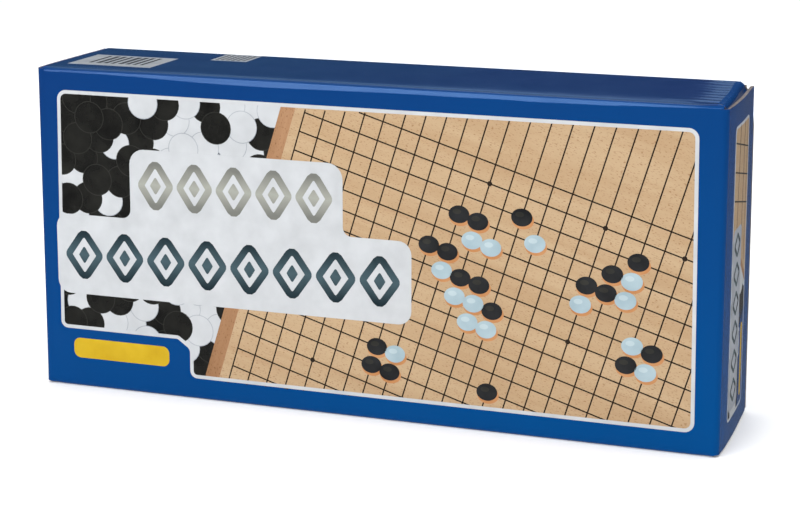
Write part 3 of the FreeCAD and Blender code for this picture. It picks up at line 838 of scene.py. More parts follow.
@dataclass(frozen=True)
class Press:
    """How the walls are pressed a little slanted beside their long creases, in millimetres."""

    height: float = 6.5
    reach: float = 2.1
    long_stray: float = 0.25
    short_stray: float = 0.12
    swells: tuple[Place, ...] = ((-140, -50, 1.8), (-45, 15, -0.6), (92, 134, -0.9), (130, 145, -0.7))
    slope: float = 0.24
    front_slope: float = 0.385
    touch: float = 0.55
    turn: float = 0.107
    shoulder: float = 4.0
    brow_width: float = 2.9
    brow_growth: float = 4.6
    brow_span: Flat = (-30.0, 90.0)
    brow_stray: float = 0.8
    brow_slope: float = 0.085
    brow_start: float = 0.15
    brow_power: float = 1.5
    brow_ends: Flat = (141.0, 149.0)

    def down_to(self, x: float, front: bool, top: bool) -> float:
        """How far from its crease a wall is slanted, at a place along the crease."""
        reach = self.reach + self.long_stray * Drift.PRESS_LONG.at(x, more=2 * front + top)
        reach += self.short_stray * Drift.PRESS_SHORT.at(x, more=front)
        if front and top:
            reach += sum(swell * ease(low, high, x) for low, high, swell in self.swells)
        return reach

    def brow(self, x: float, beyond: float, down: float, touch: float) -> float:
        """How far the top wall drops at a place beyond the front's upper crease and a little down it."""
        wide = self.brow_width + self.brow_growth * ease(*self.brow_span, x)
        wide += self.brow_stray * Drift.BROW.at(x)
        near = (1 - min(1.0, max(0.0, down - self.brow_start) / touch)) ** self.brow_power
        near *= 1 - ease(*self.brow_ends, abs(x))
        return self.brow_slope * max(0.0, wide - max(0.0, beyond)) * near


@dataclass
class CartonShape:
    """Sizes of the carton in millimetres, and how its film is drawn in at each place."""

    length: float = 310.0
    depth: float = 65.0
    height: float = 146.0
    sheet: float = 1.5
    flap_gap: float = 0.3
    crease: float = 2.25
    corner: float = 2.7
    corner_inset: float = 0.6
    corner_room: float = 0.1
    dust_corners: Flat = (3.0, 1.9)
    skew: Flat = (1.5, 0.5)
    skew_span: Flat = (-6.0, 36.0)
    skew_foot: float = 0.6
    fold_skew: float = 2.0
    fold_across: Flat = (-30.0, 34.0)
    fold_up: Flat = (140.5, 143.5)
    lift: float = 1.0
    lift_span: Flat = (141.0, 144.0)
    print_room: float = 0.12
    top_room: float = 0.1
    bottom_span: Flat = (144.0, 149.0)
    unevenness: float = 0.012
    bow: float = 0.12
    bow_reach: Flat = (150.0, 66.0)
    back_bow: Flat = (0.8, 0.6)
    closure_dip: float = 0.6
    closure_span: Flat = (-33.0, -18.0)
    tab_y: float = 30.0
    press: Press = Press()
    ripples: Ripples = Ripples()

    @property
    def closure_x(self) -> float:
        """How far out a closure's outer face stands."""
        return self.length / 2

    @property
    def dust_x(self) -> float:
        """How far out a dust flap's outer face stands."""
        return self.length / 2 - self.sheet - self.flap_gap

    @property
    def corner_middle(self) -> Flat:
        """Middle of the rounding between the front wall and a closure, out along X and forward along Y."""
        return (self.closure_x - self.corner_inset - self.corner,
                self.depth / 2 - self.corner_room - self.corner)

    def dust_corner(self, side: float, edge: float) -> tuple[Flat, float]:
        """The rounding where a dust flap hangs from its wall.

        Args:
            side: Sign of the end.
            edge: Sign of the wall.

        Returns:
            Its middle, out along X and away from mid height, and its radius.
        """
        radius = self.dust_corners[0 if side > 0 and edge > 0 else 1]
        return (self.dust_x - radius, self.height / 2 - self.corner_room - radius), radius

    def shorter(self, side: float, y: float, z: float) -> float:
        """How far an end is pressed in towards the back, a little more at the top."""
        rise = self.skew_foot + (1 - self.skew_foot) * z / self.height
        return self.skew[0 if side > 0 else 1] * ease(*self.skew_span, y) * rise

    def tucked(self, side: float, y: float, z: float) -> float:
        """How far the tube and its flaps are pressed in at an end, most at the back of the top right fold."""
        fold = self.fold_skew * ease(*self.fold_across, y) * ease(*self.fold_up, z) if side > 0 else 0.0
        return self.shorter(side, y, z) + fold

    def raised(self, side: float, z: float) -> float:
        """How much higher the upper rim of the left closure stands."""
        return self.lift * ease(*self.lift_span, z) if side < 0 else 0.0

    def outward(self, p: Vector) -> tuple[float, Vector]:
        """Where a point lies against the tube's outer face.

        Args:
            p: The point.

        Returns:
            Its distance outside that face, and the way out.
        """
        middle = self.height / 2
        y = abs(p.y) - (self.depth / 2 - self.crease)
        z = abs(p.z - middle) - (middle - self.crease)
        out_y = math.copysign(1.0, p.y)
        out_z = math.copysign(1.0, p.z - middle)
        if y > 0 and z > 0:
            reach = math.hypot(y, z)
            return reach - self.crease, Vector((0, out_y * y / reach, out_z * z / reach))
        if y > z:
            return y - self.crease, Vector((0, out_y, 0))
        return z - self.crease, Vector((0, 0, out_z))

    def drawn_in(self, p: Vector, way: Vector) -> float:
        """How far the film is drawn in at a place on the outer face, for a way out there."""
        front, back = max(0.0, -way.y) ** 2, max(0.0, way.y) ** 2
        top, bottom = max(0.0, way.z) ** 2, max(0.0, -way.z) ** 2
        near_end = ease(*self.bottom_span, abs(p.x))
        depth = self.print_room * (front + bottom * near_end) + self.top_room * top
        along, up = self.bow_reach
        sag = max(0.0, 1 - (p.x / along) ** 2)
        depth += self.bow * front * sag * max(0.0, 1 - ((p.z - self.height / 2) / up) ** 2)
        depth += self.bow * back * sag * (self.back_bow[0] + self.back_bow[1] * Drift.BACK_WALL.at(p.x, p.y))
        depth += top * self.ripples.depth(p, self.dust_x)
        depth += self.unevenness * (1 + Drift.FILM.at(p.x, p.y + p.z)) * (front + back + top)
        return depth

    def pressed(self, p: Vector) -> Vector:
        """Where a point on the outer face goes, as the walls are pressed slanted beside their creases."""
        press, front, top = self.press, p.y < 0, p.z > self.height / 2
        down = self.height - p.z if top else p.z
        if down >= press.height:
            return p
        reach = press.down_to(p.x, front, top)
        across, z = self.depth / 2 - abs(p.y), p.z
        slope = press.front_slope if front and top else press.slope
        if front and top:
            touch = press.touch * self.crease
            z -= press.brow(p.x, across - self.crease, down, touch)
            if down < touch:
                shift = self.print_room + slope * (reach - touch) - press.turn * self.crease
                across += shift * (1 - ease(self.crease, self.crease + press.shoulder, across))
                down = touch
        if down < reach:
            across = max(across, self.print_room * front + slope * (reach - down))
        return Vector((p.x, math.copysign(self.depth / 2 - across, p.y), z))

    def inked(self, at: Vector, way: Vector, lift: float) -> Vector:
        """Where a print lies over a point of the outer face, for a way out there."""
        return at - way * (self.drawn_in(at, way) - lift)

    def front(self, u: float, v: float, lift: float) -> Vector:
        """Place on the printed front, u along it from the middle and v up it."""
        return self.inked(Vector((u, -self.depth / 2, v)), -Axis.Y.unit(), lift)

    def top(self, u: float, v: float, lift: float) -> Vector:
        """Place on the top wall, u along it and v from front to back."""
        return self.inked(Vector((u, v, self.height)), Axis.Z.unit(), lift)

    def closure_depth(self, y: float, z: float) -> float:
        """How far a closure's film is drawn in."""
        dip = self.closure_dip * (1 - ease(*self.closure_span, y))
        return self.print_room + dip + self.unevenness * (1 + Drift.CLOSURE.at(y, z))

    def end(self, side: Side) -> Surface:
        """The printed face of one closure, u from front to back and v up it."""
        def place(u: float, v: float, lift: float) -> Vector:
            """Place on the closure."""
            depth = self.closure_depth(u, v) + self.shorter(side.value, u, v)
            return Vector((side.value * (self.closure_x - depth + lift), u, v))
        return place

    @staticmethod
    def rolled(a: float, b: float, centre: Flat, radius: float) -> Flat:
        """Draws a point in to a rounded corner.

        Args:
            a: Its first coordinate across the corner, growing outwards.
            b: Its second coordinate across the corner, growing outwards.
            centre: The middle of the rounding.
            radius: The rounding.

        Returns:
            The two coordinates, drawn in where they lay outside it.
        """
        da, db = a - centre[0], b - centre[1]
        reach = math.hypot(da, db)
        if da > 0 and db > 0 and reach > radius:
            return centre[0] + da * radius / reach, centre[1] + db * radius / reach
        return a, b


@dataclass
class CartonSkin:
    """The sheet of the carton: tube, closures, tuck tabs and dust flaps."""

    shape: CartonShape
    finishes: Finishes
    nodes: dict[str, bpy.types.Object]
    rim: float = 0.3
    recess: float = 1.1
    crush: float = 1.6
    crush_spans: tuple[Flat, Flat, Flat] = ((147.0, 155.0), (27.5, 31.0), (128.0, 141.0))
    tuck_along: Flat = (120.0, 151.0)
    droop: float = 0.85
    droop_height: float = 2.5
    smooth: float = 28.0
    skin: float = 0.05
    panel_pitch: float = 6.0
    end_cuts: Places = (147.0, 148.4, 149.6, 150.6, 151.5, 152.1, 152.8, 153.4, 154.0, 154.6)
    crease_cuts: Places = (0.7, 1.4, 2.0, 2.4, 2.8, 3.2, 3.6, 4.0, 4.4, 4.8, 5.2, 5.7, 6.2)
    side_cuts: Places = (-27.0, -24.0, 24.0, 27.0, -29.0, 29.0, -30.4, -31.2, -31.9)
    flap_cuts: Places = (28.0, 34.0, 40.0, 46.0, 52.0, 58.0, 64.0, 67.0, 69.0, 70.0, 70.7)
    hinge_cuts: Places = (-30.2, -29.6, -28.9, -28.0)
    back_cuts: Flat = (28.6, 29.6)
    rim_cuts: Flat = (3.5, 142.5)
    panel_half: float = 27.0
    panel_low: float = 6.0
    wall_end: float = 154.9
    bare_end: float = 152.6
    inner_half: float = 31.0
    ripple_start: float = 126.0
    ripple_pitches: Flat = (2.6, 0.95)
    ripple_wall: float = 0.4
    flap_edge: float = 23.0
    flap_dips: Flat = (0.1, 0.05)
    flap_span: Flat = (1.5, 4.0)
    tab_out: Flat = (0.987, 0.156)
    tab_span: Flat = (24.0, 122.0)
    tab_pitch: float = 7.0
    closure_pitch: float = 5.0
    tab_y: float = 30.0

    @property
    def papers(self) -> list[Material]:
        """The papers, in the order of the face marks."""
        return [self.finishes.film, self.finishes.navy, self.finishes.liner, self.finishes.cut]

    def hollow(self, bm: LooseMesh, among: Choice, way: Vector) -> None:
        """Sinks the middle of a cut edge, so that its flutes can show between the two papers.

        Args:
            bm: The mesh, in millimetres.
            among: Which faces are the cut edge.
            way: The way in.
        """
        faces = [f for f in bm.faces if among(f)]
        bmesh.ops.inset_region(bm, faces=faces, thickness=self.rim, use_even_offset=True)
        moved = bmesh.ops.extrude_face_region(bm, geom=faces)["geom"]
        bmesh.ops.delete(bm, geom=faces, context="FACES_ONLY")
        verts = [g for g in moved if isinstance(g, bmesh.types.BMVert)]
        bmesh.ops.translate(bm, vec=way * self.recess, verts=verts)

    @staticmethod
    def faced(out: Vector, least: float) -> Callable[[Vector], Sheet]:
        """What a flat flap shows: film on its outside, liner on its inside and a cut edge between them."""
        return lambda way: (Sheet.FILM if way.dot(out) > least
                            else Sheet.LINER if way.dot(out) < -least else Sheet.CUT)

    def panel(self, bm: LooseMesh, name: str, slot: str, paper: Callable[[Vector], Sheet]) -> None:
        """Finishes one flap.

        Args:
            bm: Its mesh, in millimetres.
            name: Its CAD node and its body.
            slot: The record's material slot.
            paper: What a face shows, for the way that it faces.
        """
        bm.normal_update()
        for face in bm.faces:
            face.material_index = paper(face.normal)
        shown(f"{name}_panel", settled(bm, name, self.papers, self.smooth), name, slot, name)

    def sleeve(self) -> None:
        """The tube that the board slides into."""
        s = self.shape
        bm = copied(self.nodes["carton_sleeve"])
        for side in Side:
            out = Axis.X.unit() * side.value
            self.hollow(bm, lambda f, o=out: (
                f.normal.dot(o) > 0.9 and f.calc_center_median().dot(o) > self.wall_end), -out)
        along, up, across = 144, 7, 24
        high = s.height - up
        ends, fine = self.end_cuts, self.crease_cuts
        cut(bm, Axis.X, [*steps(-along, along, self.panel_pitch), -along, along, *ends, *(-e for e in ends)])
        cut(bm, Axis.Z, [*steps(up, high, self.panel_pitch), up, high, *fine, *(s.height - f for f in fine)])
        cut(bm, Axis.Y, [*steps(-across, across, self.panel_pitch), *self.side_cuts])

        def rippled(face: Face) -> bool:
            """Whether a face is part of the top wall beside its right end."""
            at = face.calc_center_median()
            return at.z > s.height - self.ripple_wall and at.x > self.ripple_start

        half = s.ripples.half_wall
        cut(bm, Axis.X, steps(self.ripple_start, ends[0], self.ripple_pitches[0]), rippled)
        cut(bm, Axis.Y, steps(-half, half, self.ripple_pitches[1]), rippled)
        bm.normal_update()
        for face in bm.faces:
            face.material_index = self.sleeve_paper(face)
        for vert in bm.verts:
            gap, way = s.outward(vert.co)
            if gap > -self.skin:
                vert.co = s.pressed(vert.co - way * s.drawn_in(vert.co, way))
        for vert in bm.verts:
            self.round_off(vert.co)
        bm.normal_update()
        mesh = settled(bm, "carton_sleeve", self.papers, self.smooth)
        shown("carton_tube", mesh, SET, "carton", "carton_sleeve")

    def round_off(self, at: Vector) -> None:
        """Moves a point of the tube in to its rounded corners, and in where an end is pressed."""
        s, e, middle = self.shape, math.copysign(1.0, at.x), self.shape.height / 2
        x, y = s.rolled(abs(at.x), -at.y, s.corner_middle, s.corner - s.corner_room)
        at.x, at.y = e * x, -y
        if abs(at.x) > self.bare_end:
            at.z += s.raised(e, at.z)
        if abs(at.y) < self.inner_half:
            up = math.copysign(1.0, at.z - middle)
            roll, radius = s.dust_corner(e, up)
            x, far = s.rolled(abs(at.x), abs(at.z - middle), roll, radius - s.corner_room)
            at.x, at.z = e * x, middle + up * far
        x = abs(at.x)
        crush = math.prod(ease(*span, way) for span, way in zip(self.crush_spans, (x, at.y, at.z)))
        push = s.tucked(e, at.y, at.z) * ease(*self.tuck_along, x)
        at.x -= e * (push + self.crush * crush if e > 0 else push)

    def sleeve_paper(self, face: Face) -> Sheet:
        """Which paper a face of the tube shows."""
        at, way = face.calc_center_median(), face.normal
        gap, out = self.shape.outward(at)
        if abs(at.x) > 152 and at.y < -self.inner_half and abs(way.z) < 0.5 and way.y < 0.3:
            return Sheet.FILM
        if abs(at.x) > 149 and -31.6 < at.y < -30 and gap > -2.4:
            return Sheet.FILM
        if abs(way.x) > 0.9:
            return Sheet.CUT
        if gap > -0.1 and way.dot(out) > 0.25:
            return Sheet.TOP_FILM if out.z > 0.72 else Sheet.FILM
        return Sheet.CUT if abs(way.z) > 0.9 and abs(at.y) > self.inner_half and gap > -1.5 else Sheet.LINER

    def closure(self, side: Side) -> None:
        """One end closure."""
        s, e = self.shape, side.value
        name = f"{side.label}_closure"
        bm = copied(self.nodes[name])
        wide, low, high = self.panel_half, self.panel_low, s.height - self.panel_low
        front, back = self.hinge_cuts, self.back_cuts
        cut(bm, Axis.Y, [*front, *steps(-wide, wide, self.panel_pitch / 2), -wide, wide, *back])
        cut(bm, Axis.Z, [*steps(low, high, self.closure_pitch), low, high, *self.rim_cuts])
        for vert in bm.verts:
            if vert.co.x * e > s.closure_x - self.skin:
                vert.co.x -= e * s.closure_depth(vert.co.y, vert.co.z)
            x, y = s.rolled(vert.co.x * e, -vert.co.y, s.corner_middle, s.corner - s.corner_room)
            x -= s.shorter(e, -y, vert.co.z)
            droop = self.droop if vert.co.z < self.droop_height else 0.0
            vert.co = Vector((x * e, -y, vert.co.z + s.raised(e, vert.co.z) - droop))

        def paper(way: Vector) -> Sheet:
            """Cut edge above and below, and film all round the outside."""
            if abs(way.z) > 0.7:
                return Sheet.CUT
            return Sheet.FILM if way.x * e > -0.3 else Sheet.LINER

        self.panel(bm, name, "closures", paper)

    def tab(self, side: Side) -> None:
        """The tuck tab of one closure."""
        e, name = side.value, f"{side.label}_tuck_tab"
        bm = copied(self.nodes[name])
        out, back = self.tab_out
        lean = Vector((-out * e, -back, 0)).normalized()
        self.hollow(bm, lambda f: f.normal.dot(lean) > 0.99, -lean)
        cut(bm, Axis.Z, steps(*self.tab_span, self.tab_pitch))
        for vert in bm.verts:
            vert.co.x -= e * self.shape.shorter(e, self.shape.tab_y, vert.co.z)
        self.panel(bm, name, "closures", self.faced(Axis.Y.unit(), 0.6))

    def dust_flap(self, side: Side, edge: Edge) -> None:
        """One dust flap."""
        s, e, up = self.shape, side.value, edge.value
        name, middle = f"{side.label}_{edge.label}_dust_flap", s.height / 2
        bm = copied(self.nodes[name])
        self.hollow(bm, lambda f: (
            f.normal.z * up < -0.99 and abs(f.calc_center_median().z - middle) < self.flap_edge),
            Vector((0, 0, up)))
        half = s.ripples.half_wall
        cut(bm, Axis.Y, steps(-half, half, self.panel_pitch))
        cut(bm, Axis.Z, [middle + up * z for z in self.flap_cuts])
        for vert in bm.verts:
            if vert.co.x * e > s.dust_x - self.skin:
                near = 1 - ease(*self.flap_span, middle - abs(vert.co.z - middle))
                uneven = 1 + Drift.DUST_FLAP.at(vert.co.y, vert.co.z)
                vert.co.x -= e * (self.flap_dips[0] * near + self.flap_dips[1] * uneven)
            roll, radius = s.dust_corner(e, up)
            x, far = s.rolled(vert.co.x * e, (vert.co.z - middle) * up, roll, radius - s.corner_room)
            vert.co.x, vert.co.z = (x - s.tucked(e, vert.co.y, vert.co.z)) * e, middle + up * far
        self.panel(bm, name, "dust_flaps", self.faced(Axis.X.unit() * e, 0.5))

    def build(self) -> None:
        """All of the sheet."""
        self.sleeve()
        for side in Side:
            self.closure(side)
            self.tab(side)
            for edge in Edge:
                self.dust_flap(side, edge)


@dataclass
class Creases:
    """The printed paper that runs unbroken round each crease, curved round it."""

    shape: CartonShape
    finishes: Finishes
    paper: float = 0.35
    reach: float = 0.9
    turns: int = 12
    smooth: float = 35.0
    closure_span: Flat = (1.0, 144.15)
    pitch: float = 12.0
    tab_radius: float = 0.8
    tab_back: float = 30.72
    tab_root: Place = (152.75, 30.56, 30.3)
    tab_span: Flat = (9.9, 136.1)
    tab_draw: Flat = (153.0, 154.6)
    draw_y: float = 29.0
    dust_half: float = 30.2
    dust_pitch: float = 5.0

    def arcs(self, centre: Flat, radius: float) -> list[list[Flat]]:
        """The two faces of a strip round a square corner, each with a short straight part at both ends."""
        (a, b), bend = centre, [math.pi / 2 * (1 - k / self.turns) for k in range(self.turns + 1)]
        return [[(a - self.reach, b + r), *((a + r * math.cos(t), b + r * math.sin(t)) for t in bend),
                 (a + r, b - self.reach)] for r in (radius, radius - self.paper)]

    def strip(self, name: str, faces: Sequence[Sequence[Flat]], ends: Sequence[float], place: Surface,
              bodies: tuple[str, str], slot: str, span: tuple[Vector, Vector]) -> None:
        """Makes one strip round a crease.

        Args:
            name: Name of the piece.
            faces: Its outer and its inner face, across the crease.
            ends: Places along the crease.
            place: Turns two coordinates across the crease and one along it into a point.
            bodies: The two bodies on either side of the crease, named in the log.
            slot: The record's material slot; not used.
            span: Where it leaves the first body and reaches the second; not used.
        """
        bm = bmesh.new()
        ring = [*faces[0], *reversed(faces[1])]
        skinned(bm, [[bm.verts.new(place(a, b, c)) for a, b in ring] for c in ends], (0, 1, 2))
        papers = [self.finishes.film, self.finishes.liner, self.finishes.cut]
        piece = put(name, settled(bm, name, papers, self.smooth))
        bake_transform(piece)
        LOG.info("%s bends between %s and %s", name, *bodies)

    def closure(self, side: Side) -> None:
        """The crease between the front wall and one closure."""
        s, e = self.shape, side.value
        (out, forward), radius = s.corner_middle, s.corner
        low, high = self.closure_span
        high += s.raised(e, high)
        ends = [low, *steps(low, high, self.pitch), high]
        name = f"{side.label}_closure"
        self.strip(f"{name}_fold", self.arcs((out, forward), radius), ends,
                   lambda a, b, c: Vector((e * a, -b, c)), (SET, name), "closures",
                   (Vector((e * out, -forward - radius, 0)), Vector((e * (out + radius), -forward, 0))))

    def tab(self, side: Side) -> None:
        """The crease between one closure and its tuck tab."""
        s, e, radius = self.shape, side.value, self.tab_radius
        out, back = s.closure_x - s.corner_room - radius, self.tab_back - radius
        faces = self.arcs((out, back), radius)
        root, *depths = self.tab_root
        for face, y in zip(faces, depths):
            face[0] = (root, y)
        low, high = self.tab_span

        def place(a: float, b: float, c: float) -> Vector:
            """Place round the fold, drawn in with the closure's own face."""
            drawn = (s.closure_depth(self.draw_y, c) - s.print_room) * ease(*self.tab_draw, a)
            return Vector((e * (a - drawn - s.shorter(e, s.tab_y, c)), b, c))

        ends = [low, *steps(low, high, self.pitch), high]
        self.strip(f"{side.label}_tab_fold", faces, ends, place,
                   (f"{side.label}_closure", f"{side.label}_tuck_tab"), "closures",
                   (Vector((e * (out + radius), back, 0)), Vector((e * out, back + radius, 0))))

    def dust(self, side: Side, edge: Edge) -> None:
        """The crease between a long wall and one dust flap."""
        s, e, up, middle = self.shape, side.value, edge.value, self.shape.height / 2
        (out, far), radius = s.dust_corner(e, up)
        half = self.dust_half

        def place(a: float, b: float, c: float) -> Vector:
            """Place round the fold, pulled in with its wall and flap."""
            return Vector((e * (a - s.tucked(e, c, middle + up * b)), c, middle + up * b))

        start = Vector((e * out, 0, middle + up * (far + radius)))
        end = Vector((e * (out + radius), 0, middle + up * far))
        ends = [-half, *steps(-half, half, self.dust_pitch), half]
        name = f"{side.label}_{edge.label}_dust"
        self.strip(f"{name}_fold", self.arcs((out, far), radius), ends, place, (SET, f"{name}_flap"),
                   "dust_flaps", (start, end))

    def build(self) -> None:
        """Every crease of the two ends."""
        for side in Side:
            self.closure(side)
            self.tab(side)
            for edge in Edge:
                self.dust(side, edge)


@dataclass
class Flutes:
    """The wavy middle paper that shows where the board is cut across its flutes."""

    finishes: Finishes
    shape: CartonShape
    pitch: float = 3.2
    swing: float = 0.36
    paper: float = 0.16
    depth: float = 0.9
    wall_at: Place = (154.5, 31.75, 2.4)
    wall_lengths: Flat = (125.0, 141.2)
    tab_lean: float = 9.0
    tab_at: Place = (142.40, 28.07, 21.6)
    tab_inset: float = 0.5
    tab_length: float = 102.8
    flap_at: Place = (152.45, -1.9, 22.75)
    flap_length: float = 22.0

    def tree(self) -> Tree:
        """A wave along X that swings along Y and is deep along Z."""
        tree = Tree("fluted_edge")
        length, pitch, swing, paper, depth = tree.sizes("Length", "Pitch", "Swing", "Paper", "Depth")
        line = tree.add("CurvePrimitiveLine", {"End": tree.vector(length)})
        count = tree.math("MULTIPLY", tree.math("DIVIDE", length, pitch), 10.0)
        fine = tree.add("ResampleCurve", {"Curve": line, "Count": count})
        x = tree.add("ShaderNodeSeparateXYZ", {0: tree.add("InputPosition")})
        angle = tree.math("DIVIDE", tree.math("MULTIPLY", x, TURN), pitch)
        wave = tree.vector(0.0, tree.math("MULTIPLY", tree.math("SINE", angle), swing))
        waved = tree.add("SetPosition", {"Geometry": fine, "Offset": wave})
        flat = tree.add("SetCurveNormal", {"Curve": waved}, mode="Z_UP")
        bar = tree.add("CurvePrimitiveQuadrilateral", {"Width": paper, "Height": depth})
        tree.close(tree.add("CurveToMesh", {"Curve": flat, "Profile Curve": bar, "Fill Caps": True}))
        return tree

    def edge(self, tree: Tree, name: str, length: float, frame: Matrix, body: str, slot: str) -> None:
        """Makes one fluted edge, in a frame whose X runs along it, Y across the sheet and Z outwards."""
        mesh = tree.grow(self.finishes.flute, Length=length, Pitch=self.pitch, Swing=self.swing,
                         Paper=self.paper, Depth=self.depth)
        mesh.transform(Matrix.Scale(MM, 4) @ frame @ Matrix.Scale(1 / MM, 4))
        for vert in mesh.vertices:
            e, (_, y, z) = math.copysign(1.0, vert.co.x), vert.co / MM
            vert.co.x -= e * self.shape.shorter(e, y, z) * MM
        mesh.update()
        shown(name, mesh, body, slot)

    def build(self) -> None:
        """Every edge that is cut across the flutes."""
        tree = self.tree()
        along_x, along_y, up_z = (axis.unit() for axis in Axis)
        lean = math.radians(self.tab_lean)
        for side in Side:
            e = side.value
            x, y, z = self.wall_at
            wall = frame_of(up_z, along_y, along_x * e, Vector((e * x, y, z)))
            length = self.wall_lengths[0 if e > 0 else 1]
            self.edge(tree, f"{side.label}_back_wall_flutes", length, wall, SET, "carton")
            out = Vector((-e * math.cos(lean), -math.sin(lean), 0))
            across = Vector((-e * math.sin(lean), math.cos(lean), 0))
            x, y, z = self.tab_at
            tab = frame_of(up_z, across, out, Vector((e * x, y, z)) - out * self.tab_inset)
            body = f"{side.label}_tuck_tab"
            self.edge(tree, f"{side.label}_tab_flutes", self.tab_length, tab, body, "closures")
            x, y, far = self.flap_at
            for edge in Edge:
                up = edge.value
                name = f"{side.label}_{edge.label}_dust"
                at = Vector((e * x, y, self.shape.height / 2 + up * far))
                flap = frame_of(along_y, along_x, up_z * -up, at)
                self.edge(tree, f"{name}_flutes", self.flap_length, flap, f"{name}_flap", "dust_flaps")


# ------------------------ printing


@dataclass
class Printing:
    """Thin inked shapes that lie on one face of the carton."""

    name: str
    surface: Surface
    body: str
    slot: str
    sink: float = 0.05
    grid: Flat = (9.0, 9.0)
    mitre: float = 0.3
    smooth: float = 30.0
    shapes: dict[Material, list[tuple[float, list[Flat]]]] = field(default_factory=dict)

    def shape(self, material: Material, layer: Layer, outline: Sequence[Flat]) -> None:
        """Adds one filled outline."""
        self.shapes.setdefault(material, []).append((layer.value, list(outline)))

    def stroke(self, material: Material, layer: Layer, path: Sequence[Flat], width: float,
               closed: bool = True) -> None:
        """Adds a line of even width along a path.

        Args:
            material: Its ink.
            layer: Its layer.
            path: The points that it follows.
            width: Its width.
            closed: Whether it joins up with its start.
        """
        points = [Vector(p) for p in path]
        count = len(points)
        sides: list[tuple[Flat, Flat]] = []
        for i, at in enumerate(points):
            before = points[i - 1] if closed or i else at - (points[1] - at)
            after = points[(i + 1) % count] if closed or i < count - 1 else at + (at - points[i - 1])
            first, second = (at - before).normalized(), (after - at).normalized()
            middle = Vector((-first.y - second.y, first.x + second.x)).normalized()
            reach = width / 2 / max(self.mitre, middle.dot(Vector((-first.y, first.x))))
            sides.append((tuple(at + middle * reach), tuple(at - middle * reach)))
        for i in range(count if closed else count - 1):
            (a, b), (c, d) = sides[i], sides[(i + 1) % count]
            self.shape(material, layer, [a, b, d, c])

    def rule(self, material: Material, ends: tuple[Vector, Vector] | None, width: float) -> None:
        """Adds one straight line of a grid, where there is any of it."""
        if ends:
            self.stroke(material, Layer.LINES, [tuple(end) for end in ends], width, closed=False)

    def disc(self, material: Material, layer: Layer, at: Vector, radii: Flat, points: int = 28) -> None:
        """Adds a round or oval spot."""
        wide, tall = radii
        turn = [TURN * k / points for k in range(points)]
        self.shape(material, layer, [(at.x + wide * math.cos(t), at.y + tall * math.sin(t)) for t in turn])

    def lay(self, bm: LooseMesh, name: str, material: Material) -> None:
        """Lays a flat mesh on the face, as a piece of this print."""
        bmesh.ops.triangulate(bm, faces=[f for f in bm.faces if len(f.verts) > 4])
        for vert in bm.verts:
            vert.co = self.surface(*vert.co)
        bmesh.ops.recalc_face_normals(bm, faces=bm.faces[:])
        full = f"{self.name}_{name}"
        shown(full, settled(bm, full, [material], self.smooth), self.body, self.slot)

    def build(self) -> None:
        """Makes a piece of each ink."""
        for material, shapes in self.shapes.items():
            bm = bmesh.new()
            for lift, outline in shapes:
                bm.faces.new([bm.verts.new((u, v, lift)) for u, v in outline])
            flat = (Axis.X, Axis.Y)
            spans = [(min(v.co[a] for v in bm.verts), max(v.co[a] for v in bm.verts)) for a in flat]
            for axis, pitch, (low, high) in zip(flat, self.grid, spans):
                cut(bm, axis, [k * pitch for k in range(math.ceil(low / pitch), int(high // pitch) + 1)])
            under = bm.verts[:]
            bmesh.ops.extrude_face_region(bm, geom=bm.faces[:], use_keep_orig=True)
            for vert in under:
                vert.co.z = -self.sink
            self.lay(bm, material.name, material)


